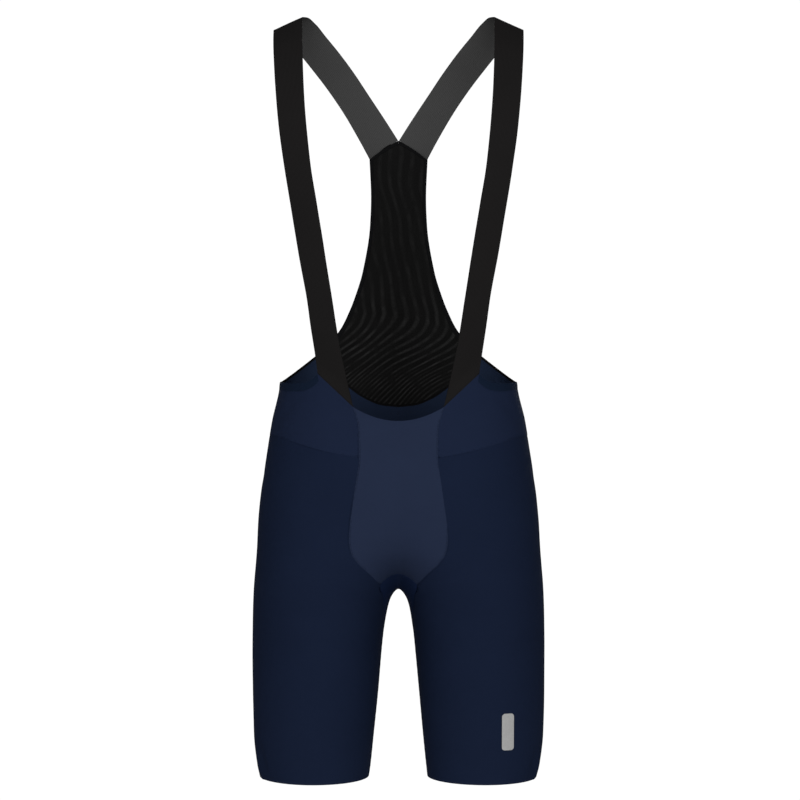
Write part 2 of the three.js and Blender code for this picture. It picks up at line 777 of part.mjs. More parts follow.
// Straps, one flat elastic each, over the shoulder
function strapGrid() {
  const last = STRAP.length - 1;
  const stations = steps(last * STRAP_STEPS_PER_ROW, (share) => share * last);
  const points = stations.map((at) => {
    const outer = new THREE.Vector3(
      strapEdges.outer_x(at),
      strapEdges.outer_y(at),
      strapEdges.outer_z(at),
    );
    const inner = new THREE.Vector3(
      strapEdges.inner_x(at),
      strapEdges.inner_y(at),
      strapEdges.inner_z(at),
    );
    return steps(STRAP_COLUMNS, (share) => inner.clone().lerp(outer, share));
  });
  const end = points.length - 1;
  points[0] = strapSeam.map((place) => onForm(place).point);
  points[end] = steps(STRAP_COLUMNS, (share) => {
    const topEdge = mesh[MESH_ROWS][MESH_SEAM_COLUMNS * (1 + share)].point;
    return topEdge.clone().setX(Math.max(topEdge.x, SEAM_GAP));
  });
  return points.map((row, i) =>
    row.map((point, j) => {
      const ahead = points[Math.min(i + 1, end)][j];
      const behind = points[Math.max(i - 1, 0)][j];
      const along = ahead.clone().sub(behind);
      const across = row[STRAP_COLUMNS].clone().sub(row[0]);
      return { point, normal: across.cross(along).normalize() };
    }),
  );
}

// The strap stops short of the back binding and a hair off its twin in the middle
function strapRoom(side) {
  return { start: SEAM_GAP / 2, end: SEAM_GAP, left: 0, right: 0 }[side];
}

addPair("strap", drawIn(strapGrid(), strapRoom), STRAP_CLOTH, STRAP_BLACK, 0.8);

// Reflective tab, a film laid on the leg's own points
function tabGrid() {
  const lift = SHORTS_CLOTH / 2 + SEAM_GAP + TAB_FILM / 2;
  return steps(TAB_ROWS, (v) => {
    const height = lerp(TAB.bottom, TAB.top, v);
    const toEnd = Math.min(height - TAB.bottom, TAB.top - height, TAB.corner);
    const cut = TAB.corner - Math.sqrt(TAB.corner ** 2 - (TAB.corner - toEnd) ** 2);
    const half = TAB.half_width - cut;
    return steps(TAB_COLUMNS, (u) => {
      const k = onFront(TAB.middle_x + half * (2 * u - 1), height);
      k.point.addScaledVector(k.normal, lift);
      return k;
    });
  });
}

addPiece("reflective_tab", tabGrid(), TAB_FILM, TAB_GREY, 0.35);

export default garment;
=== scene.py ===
# %% [markdown]
# # Cycling bib shorts
# A pair of stretch shorts with a mesh back and two elastic straps, filled out as if worn.
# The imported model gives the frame: every piece below is a finer shell on the same form, in metres.
# The front faces -Y, the wearer's left is +X, and the origin lies between the strap tops.

# %% The frame
import math
from bisect import bisect_right

import bmesh
import bpy
from mathutils import Matrix, Vector, noise


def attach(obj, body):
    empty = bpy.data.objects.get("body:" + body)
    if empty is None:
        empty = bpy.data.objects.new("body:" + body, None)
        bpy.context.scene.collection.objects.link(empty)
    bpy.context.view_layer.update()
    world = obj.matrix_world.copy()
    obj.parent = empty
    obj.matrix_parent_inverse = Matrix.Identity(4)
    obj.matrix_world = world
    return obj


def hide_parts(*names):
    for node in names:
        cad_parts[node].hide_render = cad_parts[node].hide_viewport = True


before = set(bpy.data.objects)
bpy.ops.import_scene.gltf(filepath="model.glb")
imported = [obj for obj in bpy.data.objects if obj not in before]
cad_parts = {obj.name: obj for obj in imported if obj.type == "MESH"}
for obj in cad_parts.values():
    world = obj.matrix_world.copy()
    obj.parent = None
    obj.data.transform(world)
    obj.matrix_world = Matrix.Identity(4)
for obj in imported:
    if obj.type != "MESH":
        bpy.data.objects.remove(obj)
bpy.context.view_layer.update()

MM = 0.001

# %% [markdown]
# ## The form under the cloth
# A tailor would drape the pieces on a dress form. Here the form is a table of level sections,
# read with a smooth curve, so each section is a squarish oval for one half of the body.
# A sculpted mesh would do too, but a table keeps the sizes readable and easy to change.

# %% Sections of the form
FORM_COLUMNS = ("height", "outer", "centre", "inside", "front", "back", "power")
FORM = [
    (-0.904, 0.1650, 0.093, 0.0284, 0.0680, 0.066, 2.00),
    (-0.890, 0.1684, 0.093, 0.0266, 0.0690, 0.067, 2.00),
    (-0.852, 0.1728, 0.092, 0.0228, 0.0730, 0.072, 2.00),
    (-0.800, 0.1740, 0.090, 0.0180, 0.0800, 0.080, 2.00),
    (-0.750, 0.1742, 0.088, 0.0138, 0.0860, 0.088, 2.00),
    (-0.723, 0.1740, 0.087, 0.0110, 0.0900, 0.093, 2.03),
    (-0.708, 0.1738, 0.086, 0.0088, 0.0910, 0.096, 2.05),
    (-0.694, 0.1734, 0.085, 0.0058, 0.0930, 0.099, 2.06),
    (-0.680, 0.1728, 0.083, 0.0000, 0.0950, 0.103, 2.08),
    (-0.666, 0.1718, 0.080, -0.008, 0.0970, 0.108, 2.10),
    (-0.650, 0.1704, 0.075, -0.025, 0.0985, 0.112, 2.12),
    (-0.630, 0.1689, 0.068, -0.062, 0.1000, 0.116, 2.15),
    (-0.600, 0.1673, 0.060, -0.140, 0.1010, 0.119, 2.20),
    (-0.560, 0.1634, 0.050, -0.240, 0.1010, 0.115, 2.20),
    (-0.520, 0.1574, 0.043, -0.290, 0.0995, 0.104, 2.20),
    (-0.480, 0.1510, 0.038, -0.300, 0.0970, 0.091, 2.20),
    (-0.433, 0.1414, 0.035, -0.300, 0.0940, 0.084, 2.20),
    (-0.400, 0.1405, 0.035, -0.300, 0.0930, 0.084, 2.20),
    (-0.330, 0.1460, 0.035, -0.300, 0.0980, 0.091, 2.20),
    (-0.250, 0.1560, 0.035, -0.300, 0.1050, 0.101, 2.20),
    (-0.180, 0.1630, 0.035, -0.300, 0.1080, 0.104, 2.20),
    (-0.125, 0.1660, 0.035, -0.300, 0.1040, 0.099, 2.20),
]
VALLEY_ROUNDING = 0.008


def lerp(start, end, share):
    return start + (end - start) * share


def gentle_slopes(values, spans):
    """Slopes of a smooth curve through values that never swings past them."""
    rises = [(b - a) / span for a, b, span in zip(values, values[1:], spans)]
    slopes = []
    for i in range(len(values)):
        before = rises[max(i - 1, 0)]
        after = rises[min(i, len(rises) - 1)]
        slopes.append(2 * before * after / (before + after) if before * after > 0 else 0.0)
    return slopes


def curves(rows):
    """Smooth curves through a table's other columns, read together along its first."""
    places, *others = zip(*rows)
    spans = [after - before for before, after in zip(places, places[1:])]
    tracks = [(values, gentle_slopes(values, spans)) for values in others]
    last = len(spans) - 1

    def read(at):
        i = min(max(bisect_right(places, at) - 1, 0), last)
        t = min(max((at - places[i]) / spans[i], 0.0), 1.0)
        bend = t * t * (3 - 2 * t)
        start = t * (1 - t) * (1 - t) * spans[i]
        end = t * t * (t - 1) * spans[i]
        return [
            values[i] + (values[i + 1] - values[i]) * bend + start * slopes[i] + end * slopes[i + 1]
            for values, slopes in tracks
        ]

    return read


def column(rows, names, along, name):
    """One column of a table as a smooth curve along another."""
    read = curves([(row[names.index(along)], row[names.index(name)]) for row in rows])
    return lambda at: read(at)[0]


form = curves(FORM)
print("form:", len(FORM), "sections, each with", ", ".join(FORM_COLUMNS[1:]))

# %% [markdown]
# The two thighs have to meet in a soft valley and not in a crease. Distances from the middle
# are folded through a small rounding, which turns the corner at the crotch into a saddle.
# A direction runs round one half of the body: 0 is the inner thigh, 90 degrees the front,
# 180 the side and 270 the back.

# %% Points and normals on the form


def fold(across):
    return math.hypot(across, VALLEY_ROUNDING) - VALLEY_ROUNDING


def unfold(folded):
    return math.sqrt(max((folded + VALLEY_ROUNDING) ** 2 - VALLEY_ROUNDING**2, 0.0))


def section(height):
    """Centre, reach outwards, reach inwards, front and back depth, and power at a height."""
    outer, centre, inside, front, back, power = form(height)
    return centre, fold(outer) - centre, centre - inside, front, back, power


def form_point(direction, height):
    centre, reach_out, reach_in, front, back, power = section(height)
    c = math.cos(direction)
    d = math.sin(direction)
    reach = -reach_in if c > 0 else reach_out
    depth = -front if d > 0 else back
    x = unfold(centre + reach * abs(c) ** (2 / power))
    y = depth * abs(d) ** (2 / power)
    return Vector((x, y, height))


def front_direction(across, height):
    """Direction at which the front stands a given distance from the middle."""
    centre, reach_out, reach_in, _, _, power = section(height)
    offset = fold(across) - centre
    share = -offset / (reach_in if offset < 0 else reach_out)
    share = max(-1.0, min(1.0, share))
    return math.acos(math.copysign(abs(share) ** (power / 2), share))


def back_direction(across, height):
    return 2 * math.pi - front_direction(across, height)


def outsideness(x, y, level):
    """How far a point lies outside a section, as a number whose slope gives the normal."""
    centre, reach_out, reach_in, front, back, power = level
    offset = fold(x) - centre
    across = abs(offset / (reach_in if offset < 0 else reach_out))
    deep = abs(y / (front if y < 0 else back))
    return across**power + deep**power


NORMAL_STEP = 0.25 * MM


def form_normal(point):
    x, y, z = point
    step = NORMAL_STEP
    level = section(z)
    over = section(z + step)
    under = section(z - step)
    normal = Vector((
        outsideness(x + step, y, level) - outsideness(x - step, y, level),
        outsideness(x, y + step, level) - outsideness(x, y - step, level),
        outsideness(x, y, over) - outsideness(x, y, under),
    ))
    return normal.normalized()


def on_form(direction, height):
    point = form_point(direction, height)
    return point, form_normal(point)


def on_front(across, height):
    point, normal = on_form(front_direction(abs(across), height), height)
    return mirror_knot(point, normal, across < 0)


def on_back(across, height):
    point, normal = on_form(back_direction(abs(across), height), height)
    return mirror_knot(point, normal, across < 0)


def mirror_knot(point, normal, flip=True):
    """A place on the cloth is a knot: its point and its outward normal."""
    if not flip:
        return point, normal
    return Vector((-point.x, point.y, point.z)), Vector((-normal.x, normal.y, normal.z))


print("front of the waist stands at", [round(v, 4) for v in on_front(0, -0.4784)[0]])

# %% [markdown]
# ## The seams
# Neighbouring pieces are cut to the same line, so each seam is written once, as a direction and
# a height, and both pieces read it. This keeps them together at any fineness of the mesh.

# %% Seam of the centre-front panel, and of the gusset
EDGE_COLUMNS = ("height", "across")
PANEL_EDGE = [
    (-0.6700, 0.0216),
    (-0.6560, 0.0340),
    (-0.6430, 0.0470),
    (-0.6310, 0.0545),
    (-0.6160, 0.0570),
    (-0.5990, 0.0560),
    (-0.5730, 0.0525),
    (-0.5510, 0.0495),
    (-0.5200, 0.0455),
    (-0.4890, 0.0462),
    (-0.4623, 0.0524),
]
PANEL_BOTTOM = PANEL_EDGE[0][0]
PANEL_TOP = PANEL_EDGE[-1][0]
PANEL_ARCH_MIDDLE = -0.658
PANEL_TOP_MIDDLE = -0.4784
PANEL_SEAM_TOP = -0.520
HEM = -0.904

# middle: height on the centre line. edge and direction: its side edge on the inner thigh.
GUSSET_COLUMNS = ("row", "middle", "edge", "direction")
GUSSET = [
    (0, -0.6580, -0.670, 40),
    (1, -0.6680, -0.684, 30),
    (2, -0.6750, -0.700, 20),
    (3, -0.6790, -0.718, 10),
    (4, -0.6800, -0.735, 0),
    (5, -0.6790, -0.724, -12),
    (6, -0.6745, -0.708, -24),
    (7, -0.6670, -0.690, -35),
    (8, -0.6560, -0.667, -44),
    (9, -0.6400, -0.640, -60),
]
GUSSET_INSEAM_ROW = 4
GUSSET_TIP_ROW = 9

panel_edge = column(PANEL_EDGE, EDGE_COLUMNS, "height", "across")
gusset = {name: column(GUSSET, GUSSET_COLUMNS, "row", name) for name in GUSSET_COLUMNS[1:]}


def panel_seam(height):
    return front_direction(panel_edge(height), height), height


def gusset_edge(row):
    """Side edge of the gusset, from the panel's corner to its tip on the back rise."""
    height = gusset["edge"](row)
    direction = math.radians(gusset["direction"](row))
    if row < 1:
        direction = lerp(panel_seam(PANEL_BOTTOM)[0], direction, row)
    if row > GUSSET_TIP_ROW - 1:
        direction = lerp(direction, -front_direction(0, height), row - GUSSET_TIP_ROW + 1)
    return direction, height


print("panel seam from", panel_edge(PANEL_BOTTOM), "to", panel_edge(PANEL_TOP), "off the middle")

# %% [markdown]
# The top edge of each half is one line of 24 columns: 4 under the strap, 6 along the waist
# hem, 6 along the armhole and 8 where the mesh back is joined.

# %% Waist edge, yoke seam and centre-back seam
STRAP_CORNERS = {"inner": (0.0524, -0.4623), "outer": (0.0934, -0.4240)}
SIDE_WAIST = (0.1414, -0.4326)
MESH_CORNER = (0.1020, -0.4000)
WAIST_FRONT = [
    (-0.4240, 0.0934),
    (-0.4298, 0.0993),
    (-0.4340, 0.1089),
    (-0.4348, 0.1250),
    (-0.4326, 0.1414),
]
MESH_SEAM = [
    (-0.4630, 0.0000),
    (-0.4610, 0.0200),
    (-0.4535, 0.0400),
    (-0.4430, 0.0565),
    (-0.4215, 0.0800),
    (-0.4000, 0.1020),
]
YOKE_SEAM = [
    (88, -0.520),
    (109, -0.512),
    (128, -0.504),
    (140, -0.500),
    (160, -0.497),
    (180, -0.496),
    (230, -0.503),
    (277, -0.515),
]
STRAP_END = 4
SIDE = 10
MESH_START = 16
COLUMNS = 24
BACK_RISE_TOP = -0.515
CENTRE_BACK_TOP = MESH_SEAM[0][0]

waist_front_height = column(WAIST_FRONT, EDGE_COLUMNS, "across", "height")
mesh_seam_height = column(MESH_SEAM, EDGE_COLUMNS, "across", "height")
yoke_seam_height = column(YOKE_SEAM, ("direction", "height"), "direction", "height")


def waist_edge(at):
    """Direction and height of the waist edge at a column from 0, front, to 24, centre back."""
    if at <= STRAP_END:
        share = at / STRAP_END
        across, height = (lerp(a, b, share) for a, b in zip(*STRAP_CORNERS.values()))
        return front_direction(across, height), height
    if at < SIDE:
        turn = math.sin((at - STRAP_END) / (SIDE - STRAP_END) * math.pi / 2)
        across = lerp(STRAP_CORNERS["outer"][0], SIDE_WAIST[0], turn)
        height = waist_front_height(across)
        return front_direction(across, height), height
    if at < MESH_START:
        turn = math.cos((at - SIDE) / (MESH_START - SIDE) * math.pi / 2)
        across = lerp(MESH_CORNER[0], SIDE_WAIST[0], turn)
        height = lerp(MESH_CORNER[1], SIDE_WAIST[1], turn)
        return back_direction(across, height), height
    across = lerp(MESH_CORNER[0], 0, (at - MESH_START) / (COLUMNS - MESH_START))
    height = mesh_seam_height(across)
    return back_direction(across, height), height


def yoke_seam(at):
    """Seam between yoke and leg at the same columns."""
    share = at / COLUMNS
    front_shift = panel_seam(PANEL_SEAM_TOP)[0] - waist_edge(0)[0]
    back_shift = back_direction(0, BACK_RISE_TOP) - waist_edge(COLUMNS)[0]
    direction = waist_edge(at)[0] + lerp(front_shift, back_shift, share)
    return direction, yoke_seam_height(math.degrees(direction))


print("yoke seam ends at", [round(yoke_seam(at)[1], 4) for at in (0, SIDE, COLUMNS)])

# %% [markdown]
# ## From a flat cut to a piece of cloth
# A real piece is cut flat and pulled round the body. The mesh starts the same way: a bmesh grid
# is the flat cut, and each of its points is moved to its knot on the form. The UV map holds the
# cut's own metres, with the grain straight down the middle, so the knit keeps its true size.
# Solidify gives the cloth its thickness, with the skin side in a second material, and a small
# bevel rounds the cut edge.

# %% Making a piece of cloth
SHORTS_CLOTH = 1.2 * MM
MESH_CLOTH = 1.0 * MM
STRAP_CLOTH = 1.6 * MM
SEAM_GAP = 0.03 * MM
SAME_PLACE = 0.001 * MM
SOFT_EDGE = 0.12
EDGE_SEGMENTS = 2
EDGE_ANGLE = math.radians(55)


def cumulative(points):
    total = [0.0]
    for before, after in zip(points, points[1:]):
        total.append(total[-1] + (after - before).length)
    return total


def draw_in(points, gaps):
    """Moves each side of a grid of points inwards by its own gap: start, end, left, right."""
    last_row = len(points) - 1
    last_column = len(points[0]) - 1
    moves = []
    for j in range(last_column + 1):
        moves.append((0, j, 1, j, gaps["start"]))
        moves.append((last_row, j, last_row - 1, j, gaps["end"]))
    for i in range(last_row + 1):
        moves.append((i, 0, i, 1, gaps["left"]))
        moves.append((i, last_column, i, last_column - 1, gaps["right"]))
    steps = []
    for i, j, towards_i, towards_j, gap in moves:
        way = points[towards_i][towards_j] - points[i][j]
        if gap and way.length > gap:
            steps.append((i, j, way.normalized() * gap))
    for i, j, step in steps:
        points[i][j] = points[i][j] + step


def cut_map(points):
    """Flat places of a grid's points: metres off the middle grain line, and metres up it."""
    middle = len(points[0]) // 2
    ups = cumulative([row[middle] for row in points])
    flat = []
    for row, up in zip(points, ups):
        along = cumulative(row)
        flat.append([(value - along[middle], up) for value in along])
    return flat


def cloth(name, knots, thickness, finishes, relief=None, gaps=None, values=None):
    """A piece of cloth on a grid of knots, and its flat width and length in metres."""
    points = [[point.copy() for point, _ in row] for row in knots]
    draw_in(points, {"start": 0, "end": 0, "left": 0, "right": 0, **(gaps or {})})
    flat = cut_map(points)
    shape = bmesh.new()
    rows = len(knots) - 1
    across = len(knots[0]) - 1
    bmesh.ops.create_grid(shape, x_segments=across, y_segments=rows, size=1)
    reach = max(v.co.x for v in shape.verts)
    cut = shape.loops.layers.uv.new("cut")
    value_layer = shape.verts.layers.float.new(values[0]) if values else None
    place_of = {}
    for v in shape.verts:
        j = round((v.co.x / reach + 1) / 2 * across)
        i = round((v.co.y / reach + 1) / 2 * rows)
        place_of[v] = (i, j)
    for v, (i, j) in place_of.items():
        point = points[i][j]
        height = relief(i, j, point) if relief else 0.0
        v.co = point + knots[i][j][1] * height
        if value_layer:
            v[value_layer] = values[1](i, j, point)
    for face in shape.faces:
        for loop in face.loops:
            i, j = place_of[loop.vert]
            loop[cut].uv = flat[i][j]
    shape.normal_update()
    facing = sum(v.normal.dot(knots[i][j][1]) for v, (i, j) in place_of.items())
    if facing < 0:
        bmesh.ops.reverse_faces(shape, faces=shape.faces)
    bmesh.ops.remove_doubles(shape, verts=shape.verts, dist=SAME_PLACE)
    piece = add_piece(name, shape, finishes)
    wall = piece.modifiers.new("wall", "SOLIDIFY")
    wall.thickness = thickness
    wall.offset = 0
    wall.material_offset = 1 if len(finishes) > 1 else 0
    soften(piece, SOFT_EDGE * thickness)
    width = max(row[-1][0] - row[0][0] for row in flat)
    return piece, (width, flat[-1][0][1])


def soften(piece, width):
    """Rounds the sharp edges of a piece a little."""
    edge = piece.modifiers.new("soft edge", "BEVEL")
    edge.width = width
    edge.segments = EDGE_SEGMENTS
    edge.limit_method = "ANGLE"
    edge.angle_limit = EDGE_ANGLE
    edge.harden_normals = True


def add_piece(name, shape, finishes):
    mesh = bpy.data.meshes.new(name)
    for face in shape.faces:
        face.smooth = True
    shape.to_mesh(mesh)
    shape.free()
    for finish in finishes:
        mesh.materials.append(finish)
    piece = bpy.data.objects.new(name, mesh)
    bpy.context.scene.collection.objects.link(piece)
    return piece


def dress(piece, nodes=()):
    """The piece rides on the body and hides the CAD nodes that it stands for."""
    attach(piece, "root")
    if nodes:
        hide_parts(*nodes)


print("cloth in mm:", {"shorts": SHORTS_CLOTH / MM, "mesh": MESH_CLOTH / MM, "strap": STRAP_CLOTH / MM})

# %% [markdown]
# ## Knit, ribs, net and nap
# Up close the cloth is a fine warp knit: columns of small loops, a soft nap and a slightly
# uneven dye. Each effect is a node group that gives masks and heights, built once and placed
# in every material with its own pitch, because the leg, yoke and panel differ only in colour.

# %% Helpers for node trees


def srgb(red, green, blue):
    """A colour as seen on a screen, from 0 to 255, as the linear colour that shaders use."""
    linear = []
    for value in (red, green, blue):
        share = value / 255
        linear.append(share / 12.92 if share <= 0.04045 else ((share + 0.055) / 1.055) ** 2.4)
    return (*linear, 1.0)


def add_node(tree, kind, inputs=(), **settings):
    made = tree.nodes.new(kind)
    for key, value in settings.items():
        setattr(made, key, value)
    for key, value in dict(inputs).items():
        if isinstance(value, bpy.types.NodeSocket):
            tree.links.new(value, made.inputs[key])
        else:
            made.inputs[key].default_value = value
    return made


def maths(tree, operation, *values):
    inputs = dict(enumerate(values))
    return add_node(tree, "ShaderNodeMath", inputs, operation=operation).outputs[0]


def new_group(name, inputs, outputs):
    """A shader group with float inputs at given values, and its named outputs."""
    group = bpy.data.node_groups.new(name, "ShaderNodeTree")
    for label, value in inputs.items():
        made = group.interface.new_socket(label, in_out="INPUT", socket_type="NodeSocketFloat")
        made.default_value = value
    for label in outputs:
        group.interface.new_socket(label, in_out="OUTPUT", socket_type="NodeSocketFloat")
    start = group.nodes.new("NodeGroupInput")
    end = group.nodes.new("NodeGroupOutput")
    return group, start.outputs, end.inputs


def cut_coordinates(tree):
    """Metres across and up the flat cut, from the piece's own UV map."""
    place = add_node(tree, "ShaderNodeUVMap", uv_map="cut").outputs[0]
    parts = add_node(tree, "ShaderNodeSeparateXYZ", {0: place}).outputs
    return place, parts[0], parts[1]


print("mid grey in linear light:", round(srgb(128, 128, 128)[0], 3))

# %% [markdown]
# The knit's loops, the tape's ribs and the mesh's net read the cut's own metres, so they follow
# the grain. The dye and the nap are clouds of noise, and they read the object's own coordinates.
# An image would do too, but a group stays sharp at any distance and has its pitch as an input.

# %% Groups for knit, nap, ribs and net


def knit_group():
    """Loops in columns: each column is two slanting threads that meet in a V."""
    inputs = {"Column": 0.62 * MM, "Course": 0.46 * MM}
    group, given, result = new_group("knit loops", inputs, ("Height", "Shade"))
    _, across, up = cut_coordinates(group)
    columns = maths(group, "DIVIDE", across, given["Column"])
    courses = maths(group, "DIVIDE", up, given["Course"])
    lean = maths(group, "PINGPONG", columns, 0.5)
    slanted = maths(group, "MULTIPLY_ADD", lean, 1.2, courses)
    loops = maths(group, "PINGPONG", slanted, 0.5)
    threads = maths(group, "PINGPONG", maths(group, "MULTIPLY", columns, 2.0), 0.5)
    height = maths(group, "MULTIPLY", maths(group, "ADD", loops, 0.35), threads)
    group.links.new(maths(group, "MULTIPLY", height, 2.3), result["Height"])
    group.links.new(maths(group, "MULTIPLY_ADD", height, 0.9, 0.62), result["Shade"])
    return group


def nap_group():
    """A cloudy dye and a short fuzz, on the piece's own coordinates."""
    inputs = {"Cloud": 16.0, "Fuzz": 1700.0}
    group, given, result = new_group("nap and dye", inputs, ("Tone", "Fuzz"))
    place = add_node(group, "ShaderNodeTexCoord").outputs["Object"]
    cloud = {"Vector": place, "Scale": given["Cloud"], "Detail": 3.0, "Roughness": 0.55}
    tone = add_node(group, "ShaderNodeTexNoise", cloud).outputs[0]
    grain = {"Vector": place, "Scale": given["Fuzz"], "Detail": 2.0}
    fuzz = add_node(group, "ShaderNodeTexNoise", grain).outputs[0]
    group.links.new(tone, result["Tone"])
    group.links.new(fuzz, result["Fuzz"])
    return group


def rib_group():
    """Ribs along an elastic or a tape, crossed by its picks."""
    inputs = {"Rib": 1.5 * MM, "Pick": 0.55 * MM}
    group, given, result = new_group("elastic ribs", inputs, ("Height", "Shade"))
    _, across, up = cut_coordinates(group)
    ribs = maths(group, "PINGPONG", maths(group, "DIVIDE", across, given["Rib"]), 0.5)
    round_ribs = maths(group, "SINE", maths(group, "MULTIPLY", ribs, math.pi))
    shifted = maths(group, "ADD", maths(group, "DIVIDE", up, given["Pick"]), round_ribs)
    picks = maths(group, "PINGPONG", shifted, 0.5)
    height = maths(group, "MULTIPLY", round_ribs, maths(group, "MULTIPLY_ADD", picks, 0.9, 0.45))
    group.links.new(height, result["Height"])
    group.links.new(maths(group, "MULTIPLY_ADD", height, 0.5, 0.72), result["Shade"])
    return group


def net_group():
    """An even net: cells with a thread round each."""
    inputs = {"Cells per metre": 620.0, "Thread": 0.32}
    group, given, result = new_group("even net", inputs, ("Height", "Shade"))
    place, _, _ = cut_coordinates(group)
    cells = {"Vector": place, "Scale": given["Cells per metre"], "Randomness": 0.12}
    net = add_node(group, "ShaderNodeTexVoronoi", cells, feature="DISTANCE_TO_EDGE")
    share = maths(group, "DIVIDE", net.outputs["Distance"], given["Thread"])
    hole = maths(group, "MINIMUM", share, 1.0)
    thread = maths(group, "SUBTRACT", 1.0, hole)
    group.links.new(maths(group, "SQRT", thread), result["Height"])
    group.links.new(maths(group, "MULTIPLY_ADD", thread, 0.75, 0.55), result["Shade"])
    return group


KNIT = knit_group()
NAP = nap_group()
RIBS = rib_group()
NET = net_group()
print("node groups:", [group.name for group in (KNIT, NAP, RIBS, NET)])

# %% [markdown]
# A cloth's material mixes its colour with the shade of its loops and with the cloudy dye, and
# feeds their heights to one bump. Dark cloth reflects very little, so the gloss is turned low:
# a white studio would grey it otherwise. The even values sit on the shader itself.

# %% Cloth material
TONE_SPREAD = 0.16


def cloth_material(name, colour, weave, pitches, depth=0.12 * MM, gloss=0.004, roughness=0.65):
    material = bpy.data.materials.new(name)
    material.use_nodes = True
    tree = material.node_tree
    shader = tree.nodes["Principled BSDF"]
    shader.inputs["Specular IOR Level"].default_value = gloss
    pattern = add_node(tree, "ShaderNodeGroup", node_tree=weave)
    for label, value in pitches.items():
        pattern.inputs[label].default_value = value
    nap = add_node(tree, "ShaderNodeGroup", node_tree=NAP)
    tone = maths(tree, "MULTIPLY_ADD", nap.outputs["Tone"], TONE_SPREAD, 1 - TONE_SPREAD / 2)
    shade = maths(tree, "MULTIPLY", tone, pattern.outputs["Shade"])
    scaled = {0: colour[:3], "Scale": shade}
    painted = add_node(tree, "ShaderNodeVectorMath", scaled, operation="SCALE").outputs[0]
    tree.links.new(painted, shader.inputs["Base Color"])
    rough = maths(tree, "MULTIPLY_ADD", nap.outputs["Fuzz"], 0.2, roughness - 0.1)
    tree.links.new(rough, shader.inputs["Roughness"])
    height = maths(tree, "MULTIPLY_ADD", nap.outputs["Fuzz"], 0.25, pattern.outputs["Height"])
    bump = add_node(tree, "ShaderNodeBump", {"Height": height, "Distance": depth, "Strength": 0.6})
    tree.links.new(bump.outputs[0], shader.inputs["Normal"])
    return material


FINE = {"Column": 0.62 * MM, "Course": 0.46 * MM}
SKIN = {"Column": 0.80 * MM, "Course": 0.60 * MM}
leg_knit = cloth_material("leg knit", srgb(21, 29, 48), KNIT, FINE)
yoke_knit = cloth_material("yoke knit", srgb(25, 33, 53), KNIT, FINE)
front_knit = cloth_material("front knit", srgb(33, 41, 61), KNIT, FINE)
# The gusset is the leg's knit, painted a little lighter and bluer against the shade between the thighs.
gusset_knit_painted_lighter = cloth_material("gusset knit, painted lighter", srgb(20, 30, 54), KNIT, FINE)
hem_knit = cloth_material("hem knit", srgb(18, 27, 43), KNIT, FINE)
# The skin side is the knit's own inner face, and its colour is painted lighter to make up for the shade
# inside the shorts.
skin_side_painted_lighter = cloth_material("skin side of the knit, painted lighter", srgb(28, 37, 55), KNIT, SKIN)
elastic = cloth_material("strap elastic", srgb(23, 22, 22), RIBS, {}, roughness=0.7)
elastic_back = cloth_material("skin side of the elastic", srgb(57, 57, 57), RIBS, {"Rib": 2.0 * MM})
tape = cloth_material("black tape", srgb(14, 14, 15), RIBS, {"Rib": 0.8 * MM})
thread = cloth_material("navy thread", srgb(20, 28, 46), NET, {"Cells per metre": 4000.0})
black_thread = cloth_material("black thread", srgb(20, 20, 20), NET, {"Cells per metre": 4000.0})
print("cloth materials:", len(bpy.data.materials))

# %% [markdown]
# ## Creases
# Stretch cloth on a body lies smooth, with a few soft troughs: at the groin, under the seat,
# behind the thigh and at the hems. A simulation would give others in other places, so each is
# listed: two ends on the form, a width and a depth, below zero for a ridge.

# %% Troughs and ridges of the cloth
CREASE_COLUMNS = ("from_deg", "from_height", "to_deg", "to_height", "width", "depth")
MEAN_RADIUS = 0.084
CREASE_RUN_OUT = 0.3
CREASE_REACH = 2.5
SEAM_DEPTH = 0.22 * MM
SEAM_REACH = 2.2 * MM
PUCKER_HEIGHT = 0.09 * MM
PUCKER_PITCH = 1.45 * MM
PUCKER_REACH = 5 * MM
PUCKER_DRIFT = 2.5


def flat_place(degrees, height):
    return Vector((math.radians(degrees) * MEAN_RADIUS, height))


def crease_relief(creases, place):
    """Height of the cloth over the form at a place, from all the creases near it."""
    total = 0.0
    for start, end, width, depth in creases:
        way = end - start
        share = (place - start).dot(way) / way.length_squared
        if not -CREASE_RUN_OUT < share < 1 + CREASE_RUN_OUT:
            continue
        sideways = (place - start - way * share).length / width
        if sideways > CREASE_REACH:
            continue
        taper = max(0.0, math.cos((share - 0.5) * math.pi / (1 + CREASE_RUN_OUT)))
        total -= depth * taper * math.exp(-sideways * sideways)
    return total


def read_creases(rows):
    read = []
    for row in rows:
        given = dict(zip(CREASE_COLUMNS, row))
        start = flat_place(given["from_deg"], given["from_height"])
        end = flat_place(given["to_deg"], given["to_height"])
        read.append((start, end, given["width"], given["depth"]))
    return read


def unevenness(point, size, height, seed):
    """Slow waves of the cloth, from a noise that repeats in every run."""
    return height * noise.noise(point / size + Vector((seed, seed * 0.37, seed * 1.7)))


def seam_dip(distance):
    """Cloth is drawn down a little along a seam."""
    return -SEAM_DEPTH * math.exp(-((distance / SEAM_REACH) ** 2))


def pucker(distance, along, seed):
    """Small uneven waves that the stitches leave beside a seam."""
    fade = math.exp(-((distance / PUCKER_REACH) ** 2))
    drift = PUCKER_DRIFT * noise.noise(Vector((along * 60, seed, 0.0)))
    return PUCKER_HEIGHT * fade * math.sin(along / PUCKER_PITCH + drift)


print("a seam draws the cloth down by", round(-seam_dip(0) / MM, 2), "mm")

# %% [markdown]
# ## Legs
# Each leg is one piece of dark knit round the thigh, joined on the inner thigh. Its front edge
# runs up the inseam, along the gusset and the centre-front panel, and its back edge up the
# inseam, the gusset and the centre-back seam. A Coons patch fills in between the four edges,
# as a cutter's block does.

# %% Patch between four edges


